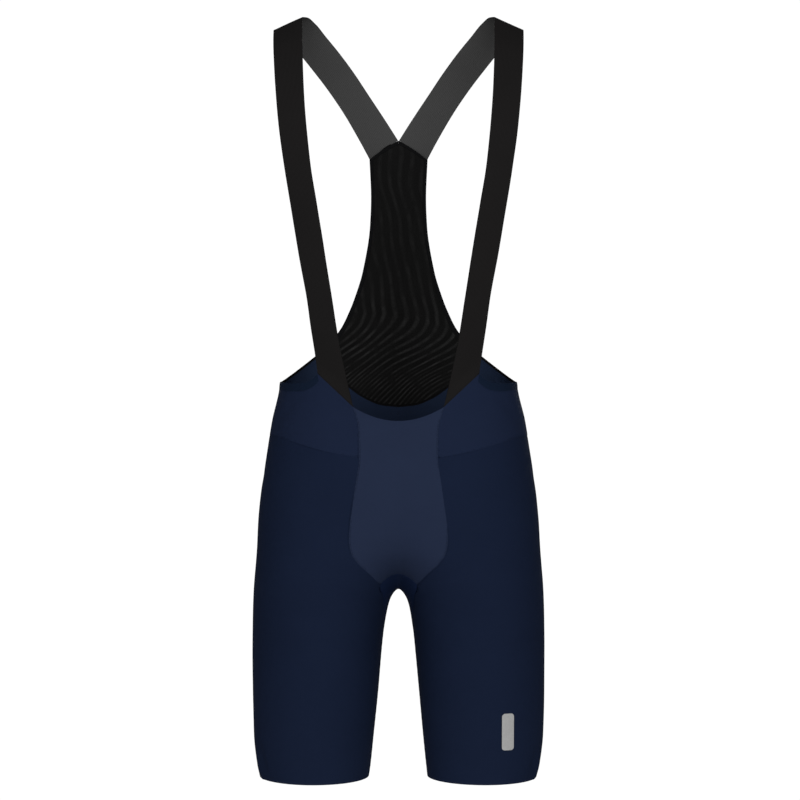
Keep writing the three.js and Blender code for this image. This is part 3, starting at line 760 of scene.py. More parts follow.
def patch(us, vs, bottom, top, left, right):
    """Knots for lists of shares, between four edges that give a direction and a height."""
    low = [bottom(u) for u in us]
    high = [top(u) for u in us]
    knots = []
    for v in vs:
        start = left(v)
        end = right(v)
        row = []
        for k, u in enumerate(us):
            place = []
            for part in (0, 1):
                sides = lerp(start[part], end[part], u)
                ends = lerp(low[k][part], high[k][part], v)
                lower = lerp(low[0][part], low[-1][part], u)
                upper = lerp(high[0][part], high[-1][part], u)
                place.append(sides + ends - lerp(lower, upper, v))
            row.append(tuple(place))
        knots.append(row)
    return knots


def shares(count):
    return [k / count for k in range(count + 1)]


print("shares of four steps:", shares(4))

# %% [markdown]
# A leg's side edges have a stop for each row of the cut: along the inseam, then along the gusset
# and last along the centre-front panel, or behind along the centre-back seam. Rows that end on
# the same stops as the neighbour's keep both sides of a seam together without a weld.

# %% The leg's own edges
LEG_ROWS = 20
GUSSET_START = 7
FRONT_CORNER = 11
BACK_TIP = 12
PANEL_STOPS = (-0.670, -0.656, -0.643, -0.631, -0.616, -0.599, -0.580, -0.561, -0.541, -0.520)
panel_height = column(list(enumerate(PANEL_STOPS)), ("row", "height"), "row", "height")
CROTCH = GUSSET[GUSSET_INSEAM_ROW][2]


def leg_front(v):
    row = v * LEG_ROWS
    if row <= GUSSET_START:
        return 0.0, lerp(HEM, CROTCH, row / GUSSET_START)
    if row < FRONT_CORNER:
        return gusset_edge(FRONT_CORNER - row)
    return panel_seam(panel_height(row - FRONT_CORNER))


def leg_back(v):
    row = v * LEG_ROWS
    if row <= GUSSET_START:
        return 2 * math.pi, lerp(HEM, CROTCH, row / GUSSET_START)
    if row < BACK_TIP:
        direction, height = gusset_edge(row - GUSSET_START + GUSSET_INSEAM_ROW)
        return 2 * math.pi + direction, height
    share = (row - BACK_TIP) / (LEG_ROWS - BACK_TIP)
    height = lerp(GUSSET[GUSSET_TIP_ROW][2], BACK_RISE_TOP, share)
    return back_direction(0, height), height


def hem(u):
    return u * 2 * math.pi, HEM


LEG_US = shares(7 * COLUMNS)
LEG_VS = shares(8 * LEG_ROWS)
leg_places = patch(LEG_US, LEG_VS, hem, lambda u: yoke_seam(u * COLUMNS), leg_front, leg_back)
leg_knots = [[on_form(*place) for place in row] for row in leg_places]
print("leg:", len(leg_knots), "rows of", len(leg_knots[0]), "knots")

# %% [markdown]
# The creases differ from side to side, as on a pair that has just been pulled on: at the groin,
# at the hem, under the seat and behind the thigh. Sculpting would make them too, but a row for
# each one can be read, moved and kept through every change of the mesh.

# %% The leg's creases
LEG_CREASES = {
    1: [
        (62, -0.668, 96, -0.642, 6 * MM, 0.7 * MM),
        (48, -0.690, 84, -0.668, 7 * MM, 0.5 * MM),
        (162, -0.872, 156, -0.903, 5.5 * MM, -2.0 * MM),
        (150, -0.868, 145, -0.893, 5 * MM, 1.1 * MM),
        (196, -0.880, 186, -0.901, 5 * MM, 0.8 * MM),
        (254, -0.676, 292, -0.688, 9 * MM, 1.2 * MM),
        (262, -0.694, 304, -0.712, 6 * MM, 1.0 * MM),
        (246, -0.660, 276, -0.664, 6 * MM, 0.7 * MM),
        (214, -0.836, 262, -0.852, 9 * MM, 0.8 * MM),
        (232, -0.868, 284, -0.880, 8 * MM, 0.6 * MM),
        (196, -0.640, 226, -0.668, 10 * MM, 0.6 * MM),
        (152, -0.530, 186, -0.556, 11 * MM, 0.6 * MM),
    ],
    -1: [
        (58, -0.664, 92, -0.646, 6 * MM, 0.6 * MM),
        (50, -0.694, 78, -0.676, 6 * MM, 0.5 * MM),
        (163, -0.870, 156, -0.903, 5.5 * MM, -2.2 * MM),
        (151, -0.864, 145, -0.891, 5 * MM, 1.2 * MM),
        (198, -0.884, 190, -0.902, 4 * MM, 0.7 * MM),
        (250, -0.680, 296, -0.686, 9 * MM, 1.1 * MM),
        (266, -0.700, 300, -0.716, 6 * MM, 1.1 * MM),
        (244, -0.657, 270, -0.666, 7 * MM, 0.6 * MM),
        (220, -0.828, 270, -0.840, 9 * MM, 0.7 * MM),
        (236, -0.862, 276, -0.882, 8 * MM, 0.7 * MM),
        (200, -0.634, 232, -0.660, 9 * MM, 0.7 * MM),
        (156, -0.536, 190, -0.552, 10 * MM, 0.5 * MM),
    ],
}
HEM_WAVE = 0.5 * MM
HEM_WAVE_REACH = 0.012
LEG_LENGTH = 0.4


def leg_relief(side):
    creases = read_creases(LEG_CREASES[side])
    rows = len(LEG_VS) - 1
    columns = len(LEG_US) - 1
    girth = 2 * math.pi * MEAN_RADIUS

    def relief(i, j, point):
        direction, height = leg_places[i][j]
        place = Vector((direction * MEAN_RADIUS, height))
        total = crease_relief(creases, place)
        total += unevenness(point, 0.07, 0.5 * MM, 3 + side)
        over_hem = height - HEM
        total += HEM_WAVE * math.sin(3 * direction + side) * math.exp(-over_hem / HEM_WAVE_REACH)
        for edge_distance, along in (
            (j / columns * girth, height),
            ((columns - j) / columns * girth, height),
            ((rows - i) / rows * LEG_LENGTH, direction * MEAN_RADIUS),
        ):
            total += seam_dip(edge_distance) + pucker(edge_distance, along, side)
        return total

    return relief


SEAMS = {"left": SEAM_GAP / 2, "right": SEAM_GAP / 2, "end": SEAM_GAP / 2, "start": 0}
SIDE_NAMES = {1: "left", -1: "right"}


def mirror(knots, side):
    return [[mirror_knot(point, normal, side < 0) for point, normal in row] for row in knots]


for side, side_name in SIDE_NAMES.items():
    knots = mirror(leg_knots, side)
    piece, size = cloth(
        f"leg_{side_name}_knit", knots, SHORTS_CLOTH, [leg_knit, skin_side_painted_lighter], leg_relief(side), SEAMS
    )
    dress(piece, [f"leg_{side_name}"])

print("creases on each leg:", [len(rows) for rows in LEG_CREASES.values()])

# %% [markdown]
# ## Hip yokes, waist hems and armhole bindings
# A second panel covers the hip from the centre-front panel to the middle of the back. Its top
# edge has a turned hem at the front and a narrow black binding round the armhole. The yoke
# stops short of the waist edge, and hem and binding lap over its cut edge by 2 to 3 mm.

# %% Yoke
WAIST_HEM = 6 * MM
ARMHOLE_BINDING = 3.5 * MM
STEP = 0.004
RUN_STEPS = 60


def yoke_front(v):
    return panel_seam(lerp(PANEL_SEAM_TOP, PANEL_TOP, v))


def yoke_back(v):
    height = lerp(BACK_RISE_TOP, CENTRE_BACK_TOP, v)
    return back_direction(0, height), height


def edge_room(at):
    """How far the yoke stops short of the waist edge at a column."""
    if STRAP_END < at < SIDE:
        return WAIST_HEM
    if SIDE < at < MESH_START:
        return ARMHOLE_BINDING
    return 0.0


def stations(first, last, per_column):
    """Columns from first to last, each divided evenly, with a pair close by where hems end."""
    found = [first + k / per_column for k in range((last - first) * per_column + 1)]
    for corner in (STRAP_END, SIDE, MESH_START):
        if corner in found and first < corner < last:
            at = found.index(corner)
            found[at : at + 1] = [corner - STEP, corner + STEP]
    return found


YOKE_CORNERS = [yoke_seam(0), yoke_seam(COLUMNS), waist_edge(0), waist_edge(COLUMNS)]


def yoke_place(u, v, low, high):
    """Direction and height at shares of the yoke, from the ends of its column, low and high."""
    place = []
    start = yoke_front(v)
    end = yoke_back(v)
    for part in (0, 1):
        sides = lerp(start[part], end[part], u)
        ends = lerp(low[part], high[part], v)
        lower = lerp(YOKE_CORNERS[0][part], YOKE_CORNERS[1][part], u)
        upper = lerp(YOKE_CORNERS[2][part], YOKE_CORNERS[3][part], u)
        place.append(sides + ends - lerp(lower, upper, v))
    return place


def yoke_strip(columns, reach, rows):
    """Knots of the yoke at columns, between two distances up from the yoke seam.

    reach gives the two distances from a column and the length up it. The length is measured
    on a patch between the strip's own ends, which is short for a strip of only some columns,
    so the hem and the tape come out 2 to 3 mm wider than their named width.
    """
    us = [at / COLUMNS for at in columns]
    places = patch(
        us, shares(RUN_STEPS), lambda u: yoke_seam(u * COLUMNS), lambda u: waist_edge(u * COLUMNS),
        yoke_front, yoke_back,
    )
    points = [[form_point(*place) for place in row] for row in places]
    lengths = [cumulative([row[k] for row in points])[-1] for k in range(len(us))]
    lows = [yoke_seam(at) for at in columns]
    highs = [waist_edge(at) for at in columns]
    knots = []
    for share in shares(rows):
        row = []
        for k, at in enumerate(columns):
            start, end = reach(at, lengths[k])
            v = lerp(start, end, share) / lengths[k]
            row.append(on_form(*yoke_place(us[k], v, lows[k], highs[k])))
        knots.append(row)
    return knots


YOKE_CREASES = {
    1: [
        (136, -0.448, 158, -0.486, 9 * MM, 1.0 * MM),
        (196, -0.430, 218, -0.470, 8 * MM, 0.8 * MM),
        (120, -0.470, 132, -0.505, 10 * MM, -0.5 * MM),
    ],
    -1: [
        (134, -0.444, 160, -0.490, 9 * MM, 1.1 * MM),
        (200, -0.436, 214, -0.474, 8 * MM, 0.7 * MM),
        (118, -0.474, 130, -0.508, 10 * MM, -0.5 * MM),
    ],
}
YOKE_GRID_ROWS = 36
YOKE_ROW_STEP = 1.7 * MM
YOKE_COLUMN_STEP = 14 * MM
YOKE_HEIGHT = 0.08
EDGE_PULL = 1.6
yoke_columns = stations(0, COLUMNS, 7)
yoke_knots = yoke_strip(yoke_columns, lambda at, run: (0, run - edge_room(at)), YOKE_GRID_ROWS)


def place_on_body(point):
    """Direction and height of a point, as the creases read them."""
    centre = section(point.z)[0]
    direction = math.atan2(-point.y, centre - fold(abs(point.x))) % (2 * math.pi)
    return Vector((direction * MEAN_RADIUS, point.z))


def yoke_relief(side):
    creases = read_creases(YOKE_CREASES[side])

    def relief(i, j, point):
        total = crease_relief(creases, place_on_body(point))
        total += unevenness(point, 0.06, 0.4 * MM, 7 + side)
        along = yoke_columns[j] * YOKE_COLUMN_STEP
        low = i / YOKE_GRID_ROWS * YOKE_HEIGHT
        total += seam_dip(low) + pucker(low, along, side)
        if STRAP_END < yoke_columns[j] < MESH_START:
            total += EDGE_PULL * seam_dip((YOKE_GRID_ROWS - i) * YOKE_ROW_STEP)
        ends = min(yoke_columns[j], COLUMNS - yoke_columns[j]) * YOKE_COLUMN_STEP
        total += seam_dip(ends) + pucker(ends, point.z, side + 2)
        return total

    return relief


ALL_SEAMS = dict.fromkeys(("start", "end", "left", "right"), SEAM_GAP / 2)
yokes = {}
for side, side_name in SIDE_NAMES.items():
    yokes[side] = cloth(
        f"yoke_{side_name}_knit", mirror(yoke_knots, side), SHORTS_CLOTH, [yoke_knit, skin_side_painted_lighter],
        yoke_relief(side), ALL_SEAMS,
    )
    dress(yokes[side][0], [f"hip_yoke_{side_name}"])
print("yoke:", len(yoke_knots), "rows of", len(yoke_knots[0]), "knots")

# %% [markdown]
# A turned hem is folded over and a binding wraps the edge, so both stand up a little, with a
# round top. Each could be a curve with a bevel, but a strip of the yoke's own place follows
# its edge all the way, laps over it and keeps the grain.

# %% Waist hem and armhole binding
EDGE_ROWS = 6
EDGE_CROWN = 0.35 * MM


def edge_strip(name, first, last, width, finishes, node, side):
    """A strip of given width along the waist edge, a little fuller than the cloth beside it."""
    columns = [first + STEP + k / 8 for k in range((last - first) * 8)] + [last - STEP]
    knots = mirror(yoke_strip(columns, lambda at, run: (run - width, run), EDGE_ROWS), side)

    def relief(i, j, point):
        share = i / EDGE_ROWS
        return EDGE_CROWN * math.sin(math.pi * share) + unevenness(point, 0.02, 0.12 * MM, 5)

    piece, _ = cloth(name, knots, SHORTS_CLOTH, finishes, relief, ALL_SEAMS)
    dress(piece, [node])
    return piece


for side, side_name in SIDE_NAMES.items():
    waist_hem = edge_strip(
        f"waist_hem_{side_name}", STRAP_END, SIDE, WAIST_HEM, [hem_knit, skin_side_painted_lighter],
        f"waist_band_{side_name}", side,
    )
    arm_tape = edge_strip(
        f"armhole_tape_{side_name}", SIDE, MESH_START, ARMHOLE_BINDING, [tape],
        f"armhole_binding_{side_name}", side,
    )

# %% [markdown]
# ## Centre-front panel and gusset
# The lighter panel runs from the low front edge down to an arch over the gusset. It is one
# smooth piece, so its rows are level in the middle and bend to the seam's height at the sides.

# %% Centre-front panel
PANEL_GRID_ROWS = 110
PANEL_GRID_COLUMNS = 52
PANEL_ROW_STEP = 1.9 * MM
PANEL_COLUMN_STEP = 2 * MM
TOP_ROLL = 0.45 * MM
TOP_ROLL_REACH = 3 * MM


def panel_knot(across_share, v):
    edge_height = lerp(PANEL_BOTTOM, PANEL_TOP, v)
    middle = lerp(PANEL_ARCH_MIDDLE, PANEL_TOP_MIDDLE, v)
    height = lerp(middle, edge_height, across_share**2)
    return on_front(across_share * panel_edge(edge_height), height)


panel_knots = [
    [panel_knot(2 * u - 1, v) for u in shares(PANEL_GRID_COLUMNS)] for v in shares(PANEL_GRID_ROWS)
]


def panel_relief(i, j, point):
    edge = min(j, PANEL_GRID_COLUMNS - j) * PANEL_COLUMN_STEP
    arch = i * PANEL_ROW_STEP
    top = (PANEL_GRID_ROWS - i) * PANEL_ROW_STEP
    total = seam_dip(edge) + pucker(edge, point.z, 11) + seam_dip(arch) + pucker(arch, point.x, 12)
    total += TOP_ROLL * math.exp(-((top / TOP_ROLL_REACH) ** 2))
    return total + unevenness(point, 0.05, 0.4 * MM, 13)


PANEL_SEAMS = {"left": SEAM_GAP / 2, "right": SEAM_GAP / 2, "start": SEAM_GAP / 2, "end": 0}
front_panel, size = cloth(
    "front_panel_knit", panel_knots, SHORTS_CLOTH, [front_knit, skin_side_painted_lighter], panel_relief, PANEL_SEAMS
)
dress(front_panel, ["front_panel"])

# %% [markdown]
# The gusset joins front and back between the thighs and closes to a point on the centre-back
# seam. Its rows cross the valley between the thighs, dense at the middle where it bends most.

# %% Gusset
GUSSET_GRID_COLUMNS = 40
GUSSET_COLUMN_STEP = 1.4 * MM
GUSSET_STEPS = 8


def gusset_place(share, row):
    """Direction and height at a share from -1 to 1 across and a row of the table."""
    spread = share * share
    middle_height = gusset["middle"](row)
    facing = 1 if row <= GUSSET_INSEAM_ROW else -1
    middle = facing * front_direction(0, middle_height)
    edge, edge_height = gusset_edge(row)
    direction = lerp(middle, edge, spread)
    height = lerp(middle_height, edge_height, spread)
    if row < 1:
        arch_height = lerp(PANEL_ARCH_MIDDLE, PANEL_BOTTOM, spread)
        arch = front_direction(abs(share) * PANEL_EDGE[0][1], arch_height)
        direction = lerp(arch, direction, row)
        height = lerp(arch_height, height, row)
    return direction, height


gusset_rows = [k / GUSSET_STEPS for k in range(GUSSET_STEPS * GUSSET_TIP_ROW + 1)]
gusset_knots = []
for row in gusset_rows:
    line = []
    for u in shares(GUSSET_GRID_COLUMNS):
        share = 2 * u - 1
        line.append(mirror_knot(*on_form(*gusset_place(share, row)), share < 0))
    gusset_knots.append(line)


def gusset_relief(i, j, point):
    edge = min(j, GUSSET_GRID_COLUMNS - j) * GUSSET_COLUMN_STEP
    return seam_dip(edge) + pucker(edge, point.y, 21) + unevenness(point, 0.03, 0.3 * MM, 22)


GUSSET_SEAMS = {"left": SEAM_GAP / 2, "right": SEAM_GAP / 2, "start": SEAM_GAP / 2, "end": 0}
gusset_piece, size = cloth(
    "crotch_gusset_knit", gusset_knots, SHORTS_CLOTH, [gusset_knit_painted_lighter, skin_side_painted_lighter],
    gusset_relief, GUSSET_SEAMS,
)
dress(gusset_piece, ["crotch_gusset"])

# %% [markdown]
# ## Mesh back
# The upper back is an even black net, tight between the straps, the bindings and the shorts.
# The pull of the straps leaves fine streaks: nearly upright at the top, then sweeping down to
# one side and fanning out above the seam. They are low ridges in the mesh with a painted
# highlight along them, both read from one number that is even along each streak.

# %% Mesh panel
MESH_COLUMNS = ("row", "across", "height")
MESH_SIDE = [
    (0.0, 0.1020, -0.4000),
    (1.5, 0.0860, -0.3840),
    (3.0, 0.0716, -0.3660),
    (4.5, 0.0605, -0.3430),
    (5.5, 0.0540, -0.3260),
    (7.0, 0.0445, -0.2940),
    (9.5, 0.0355, -0.2360),
    (11.0, 0.0343, -0.2020),
    (13.0, 0.0362, -0.1537),
]
MESH_LAST = 13
MESH_TOP_MIDDLE = -0.1308
MESH_TOP_ROUNDING = 1.8 * MM
BINDING = 4 * MM
MESH_GRID_COLUMNS = 110
MESH_GRID_ROWS = 150
MESH_COLUMN_STEP = 1.4 * MM
mesh_side = {name: column(MESH_SIDE, MESH_COLUMNS, "row", name) for name in MESH_COLUMNS[1:]}
MESH_TOP_CORNER = (mesh_side["across"](MESH_LAST), mesh_side["height"](MESH_LAST))


def mesh_knot(share, v):
    """Knot of the mesh at a share from -1 to 1 across and a share from its seam to its top."""
    half = mesh_side["across"](v * MESH_LAST)
    low = mesh_seam_height(abs(share) * MESH_CORNER[0])
    straight = lerp(MESH_TOP_MIDDLE, MESH_TOP_CORNER[1], abs(share))
    high = straight + MESH_TOP_ROUNDING * math.sin(abs(share) * math.pi)
    ends = lerp(low, high, v)
    corners = lerp(MESH_CORNER[1], MESH_TOP_CORNER[1], v)
    return on_back(share * half, mesh_side["height"](v * MESH_LAST) + ends - corners)


def side_inset(v):
    """Share of the half width that the side binding takes at a share of the height."""
    return BINDING / mesh_side["across"](v * MESH_LAST)


def end_inset(share):
    """Share of the height that a binding takes at the seam or the top."""
    low = mesh_seam_height(abs(share) * MESH_CORNER[0])
    return BINDING / (MESH_TOP_MIDDLE - low)


TURN_HEIGHT = -0.345
TURN_SLOPE = 0.28
TURN_BEND = 0.04
LEAN_TOP = -0.190
LEAN = 0.2
DRIFT = 5 * MM
STREAK_PITCH = 12.4 * MM
STREAK_RISE = 0.08 * MM
FAN_TOP = -0.392
FAN_BOTTOM = -0.432
FAN_RISE = 0.12 * MM

# How far the streaks have swept sideways at each depth below their turn
SWEEP_COLUMNS = ("depth", "sideways")
SWEEP = [
    (0.000, 0.0000),
    (0.012, 0.0066),
    (0.030, 0.0250),
    (0.050, 0.0516),
    (0.070, 0.0776),
    (0.090, 0.0981),
    (0.110, 0.1136),
    (0.130, 0.1266),
]
sweep = column(SWEEP, SWEEP_COLUMNS, "depth", "sideways")


def streak_number(point):
    """Even along each streak: the streaks lean, turn at a height and sweep to one side."""
    turn = TURN_HEIGHT - TURN_SLOPE * (point.x + math.hypot(point.x, TURN_BEND)) / 2
    lean = LEAN * min(max(LEAN_TOP - point.z, 0.0), LEAN_TOP - TURN_HEIGHT)
    drift = DRIFT * noise.noise(point * 20 + Vector((4.0, 1.0, 9.0)))
    return point.x - lean + sweep(max(0.0, turn - point.z)) + drift


def mesh_relief(i, j, point):
    turns = 2 * math.pi * streak_number(point) / STREAK_PITCH
    fan = min(1.0, max(0.0, (FAN_TOP - point.z) / (FAN_TOP - FAN_BOTTOM)))
    wave = lerp(math.sin(turns), -math.cos(2 * turns), fan)
    total = (STREAK_RISE + FAN_RISE * fan) * wave
    total += unevenness(point, 0.06, 0.8 * MM, 31)
    edge = min(j, MESH_GRID_COLUMNS - j) * MESH_COLUMN_STEP
    return total + pucker(edge, point.z, 32)


mesh_knots = []
for v in shares(MESH_GRID_ROWS):
    line = []
    for u in shares(MESH_GRID_COLUMNS):
        share = (2 * u - 1) * (1 - side_inset(v))
        inset = end_inset(share)
        line.append(mesh_knot(share, lerp(inset, 1 - inset, v)))
    mesh_knots.append(line)
print("mesh back:", len(mesh_knots), "rows of", len(mesh_knots[0]), "knots")

# %% [markdown]
# The net's material is the cloth material with one more step: where a streak runs, the colour
# is lifted as a painted highlight. The streak's number is kept at each point of the mesh, so relief
# and painted highlight agree. Patches of noise break the highlights up, clearest low down.

# %% Net with streaks and a painted highlight along them
# Strength of the painted highlight along the streaks: faint high up, clear low down.
FAINT_ABOVE = -0.30
CLEAR_BELOW = -0.40
FAINT_HIGHLIGHT = 0.45
CLEAR_HIGHLIGHT = 1.5


def mesh_material():
    material = cloth_material("black mesh", srgb(16.5, 16.5, 16.5), NET, {}, depth=0.25 * MM)
    tree = material.node_tree
    shader = tree.nodes["Principled BSDF"]
    number = add_node(tree, "ShaderNodeAttribute", attribute_name="streak").outputs["Fac"]
    turns = maths(tree, "MULTIPLY", number, 2 * math.pi / STREAK_PITCH)
    place = add_node(tree, "ShaderNodeTexCoord").outputs["Object"]
    height = add_node(tree, "ShaderNodeSeparateXYZ", {0: place}).outputs[2]
    fan_range = {0: height, 1: FAN_TOP, 2: FAN_BOTTOM, 3: 0.0, 4: 1.0}
    fan = add_node(tree, "ShaderNodeMapRange", fan_range).outputs[0]
    upper = maths(tree, "SINE", turns)
    lower = maths(tree, "SINE", maths(tree, "MULTIPLY_ADD", turns, 2.0, -math.pi / 2))
    wave = maths(tree, "MULTIPLY_ADD", fan, maths(tree, "SUBTRACT", lower, upper), upper)
    cells = {"Vector": place, "Scale": 60.0, "Detail": 3.0}
    patches = add_node(tree, "ShaderNodeTexNoise", cells).outputs[0]
    strength = maths(tree, "MAXIMUM", maths(tree, "MULTIPLY_ADD", patches, 4.0, -1.2), 0.1)
    # The colour is lifted along each streak here: a painted highlight on the ridge, broken up by
    # patches.
    streaks = maths(tree, "MULTIPLY", maths(tree, "MAXIMUM", wave, -0.12), strength)
    low_range = {0: height, 1: FAINT_ABOVE, 2: CLEAR_BELOW, 3: FAINT_HIGHLIGHT, 4: CLEAR_HIGHLIGHT}
    highlight_amount = add_node(tree, "ShaderNodeMapRange", low_range).outputs[0]
    lift = maths(tree, "MULTIPLY_ADD", streaks, highlight_amount, 1.0)
    painted = shader.inputs["Base Color"].links[0].from_socket
    highlighted = add_node(tree, "ShaderNodeVectorMath", {0: painted, "Scale": lift}, operation="SCALE")
    tree.links.new(highlighted.outputs[0], shader.inputs["Base Color"])
    return material


black_mesh = mesh_material()
mesh_piece, mesh_size = cloth(
    "mesh_back_net", mesh_knots, MESH_CLOTH, [black_mesh], mesh_relief, ALL_SEAMS,
    ("streak", lambda i, j, point: streak_number(point)),
)
dress(mesh_piece, ["mesh_back"])
print("streaks are", round(STREAK_PITCH / MM, 1), "mm apart")

# %% [markdown]
# A black binding runs up each side of the mesh and over its top, with a mitre at the corner,
# and a band covers the seam to the shorts. Each is a strip of the mesh's own place.

# %% Mesh bindings
BINDING_ROWS = 4
BINDING_CROWN = 0.4 * MM


def binding_knot(t, width):
    """t runs from 0, bottom, to 1 at the corner and to 2 at the middle of the top.

    width is the share of the binding's width from its outer edge.
    """
    if t <= 1:
        v = t * (1 - width * end_inset(1))
        return mesh_knot(1 - width * side_inset(v), v)
    start = 1 - width * side_inset(1)
    share = lerp(start, 0.0, t - 1)
    return mesh_knot(share, 1 - width * end_inset(share))


def round_strip(i, j, point):
    crown = BINDING_CROWN * math.sin(math.pi * i / BINDING_ROWS)
    return crown + unevenness(point, 0.02, 0.12 * MM, 41)


side_ts = [k / 130 for k in range(131)] + [1 + k / 24 for k in range(1, 25)]
binding_knots = [[binding_knot(t, w) for t in side_ts] for w in shares(BINDING_ROWS)]
for side, side_name in SIDE_NAMES.items():
    piece, _ = cloth(
        f"back_tape_{side_name}", mirror(binding_knots, side), SHORTS_CLOTH, [tape],
        round_strip, ALL_SEAMS,
    )
    dress(piece, [f"back_binding_{side_name}"])

band_knots = []
for w in shares(BINDING_ROWS):
    line = []
    for u in shares(140):
        share = (2 * u - 1) * (1 - side_inset(0))
        line.append(mesh_knot(share, w * end_inset(share)))
    band_knots.append(line)
seam_tape, _ = cloth("mesh_seam_tape", band_knots, SHORTS_CLOTH, [tape], round_strip, ALL_SEAMS)
dress(seam_tape, ["mesh_seam_band"])

# %% [markdown]
# ## Straps
# Each strap is one flat woven elastic from the front waist over the shoulder to the mesh. Its
# two edges are tables, because the strap turns as it goes over the shoulder. The outer face is
# near black and the face towards the body is charcoal, as seen where the back shows.

# %% Straps
STRAP_COLUMNS = ("row", "outer_x", "outer_y", "outer_z", "inner_x", "inner_y", "inner_z")
STRAP = [
    (0, 0.0934, -0.079, -0.4240, 0.0524, -0.092, -0.4623),
    (1, 0.0973, -0.083, -0.3963, 0.0612, -0.094, -0.4242),
    (2, 0.1018, -0.088, -0.3663, 0.0697, -0.098, -0.3816),
    (3, 0.1059, -0.092, -0.3360, 0.0765, -0.103, -0.3380),
    (4, 0.1152, -0.097, -0.2837, 0.0848, -0.109, -0.2845),
    (5, 0.1243, -0.100, -0.2287, 0.0936, -0.111, -0.2296),
    (6, 0.1313, -0.098, -0.1870, 0.1006, -0.108, -0.1880),
    (7, 0.1374, -0.092, -0.1448, 0.1054, -0.101, -0.1458),
    (8, 0.1422, -0.080, -0.1014, 0.1092, -0.087, -0.1024),
    (9, 0.1453, -0.062, -0.0658, 0.1117, -0.067, -0.0620),
    (10, 0.1478, -0.037, -0.0345, 0.1136, -0.040, -0.0245),
    (11, 0.1493, -0.004, -0.0115, 0.1148, -0.004, 0.0040),
    (12, 0.1440, 0.012, -0.0110, 0.1085, 0.012, 0.0060),
    (13, 0.1335, 0.030, -0.0190, 0.0995, 0.031, 0.0010),
    (14, 0.1214, 0.046, -0.0310, 0.0885, 0.047, -0.0105),
    (15, 0.1049, 0.061, -0.0498, 0.0726, 0.062, -0.0281),
    (16, 0.0877, 0.075, -0.0707, 0.0563, 0.078, -0.0483),
    (17, 0.0676, 0.086, -0.0992, 0.0367, 0.090, -0.0763),
    (18, 0.0504, 0.093, -0.1280, 0.0175, 0.096, -0.1045),
    (19, 0.0362, 0.098, -0.1537, 0.0004, 0.099, -0.1308),
]
STRAP_LAST = 19
STRAP_GRID_COLUMNS = 18
STRAP_STEPS = 12
STRAP_CROWN = 0.25 * MM
JOIN_BLEND = 0.6
strap_edges = curves(STRAP)
print("strap:", len(STRAP), "rows, each with", ", ".join(STRAP_COLUMNS[1:]))


def strap_point(share, row):
    """A place on the strap: share 0 at its inner edge, 1 at its outer, row 0 at the waist."""
    edges = strap_edges(row)
    point = Vector(edges[3:]).lerp(Vector(edges[:3]), share)
    if row < JOIN_BLEND:
        seam = form_point(*waist_edge(share * STRAP_END))
        point = seam.lerp(point, row / JOIN_BLEND)
    if row > STRAP_LAST - JOIN_BLEND:
        end = mesh_knot(max(share, 0.01), 1)[0]
        point = point.lerp(end, 1 - (STRAP_LAST - row) / JOIN_BLEND)
    return point


strap_rows = [k / STRAP_STEPS for k in range(STRAP_LAST * STRAP_STEPS + 1)]
strap_points = [[strap_point(u, row) for u in shares(STRAP_GRID_COLUMNS)] for row in strap_rows]
strap_knots = []
for i, row in enumerate(strap_points):
    ahead = strap_points[min(i + 1, len(strap_points) - 1)]
    behind = strap_points[max(i - 1, 0)]
    across = row[-1] - row[0]
    ways = [after - before for after, before in zip(ahead, behind)]
    strap_knots.append([(point, across.cross(way).normalized()) for point, way in zip(row, ways)])


def strap_relief(side):
    def relief(i, j, point):
        share = j / STRAP_GRID_COLUMNS
        crown = STRAP_CROWN * math.sin(math.pi * share)
        return crown + unevenness(point, 0.045, 0.7 * MM, 51 + side)

    return relief


STRAP_GAPS = {"start": SEAM_GAP / 2, "end": 0.3 * MM, "left": 0, "right": 0}
for side, side_name in SIDE_NAMES.items():
    piece, size = cloth(
        f"strap_{side_name}_elastic", mirror(strap_knots, side), STRAP_CLOTH, [elastic, elastic_back],
        strap_relief(side), STRAP_GAPS,
    )
    dress(piece, [f"strap_{side_name}"])

# %% [markdown]
# ## Reflective tab
# A small pressed-on film low on the left leg, with rounded corners. Its face is a layer of
# glass beads, so it is satin grey with a fine sparkle.

# %% Tab
TAB_MIDDLE = 0.1272
TAB_BOTTOM = -0.863
TAB_TOP = -0.8195
TAB_HALF = 6.9 * MM
TAB_CORNER = 3.5 * MM
TAB_FILM = 0.6 * MM
TAB_LIFT = SHORTS_CLOTH / 2 + 0.3 * MM + TAB_FILM / 2


def bead_material():
    material = bpy.data.materials.new("reflective film")
    material.use_nodes = True
    tree = material.node_tree
    shader = tree.nodes["Principled BSDF"]
    shader.inputs["Specular IOR Level"].default_value = 0.35
    place = add_node(tree, "ShaderNodeTexCoord").outputs["Object"]
    cells = {"Vector": place, "Scale": 2600.0}
    beads = add_node(tree, "ShaderNodeTexVoronoi", cells)
    clouds = add_node(tree, "ShaderNodeTexNoise", {"Vector": place, "Scale": 180.0}).outputs[0]
    sparkle = maths(tree, "MULTIPLY_ADD", beads.outputs["Distance"], -0.35, 1.06)
    shade = maths(tree, "MULTIPLY", sparkle, maths(tree, "MULTIPLY_ADD", clouds, 0.2, 0.9))
    scaled = {0: srgb(141, 141, 140)[:3], "Scale": shade}
    painted = add_node(tree, "ShaderNodeVectorMath", scaled, operation="SCALE").outputs[0]
    tree.links.new(painted, shader.inputs["Base Color"])
    rough = maths(tree, "MULTIPLY_ADD", beads.outputs["Distance"], 0.3, 0.32)
    tree.links.new(rough, shader.inputs["Roughness"])
    dome = maths(tree, "SUBTRACT", 1.0, beads.outputs["Distance"])
    bump = add_node(tree, "ShaderNodeBump", {"Height": dome, "Distance": 0.05 * MM, "Strength": 0.5})
    tree.links.new(bump.outputs[0], shader.inputs["Normal"])
    return material


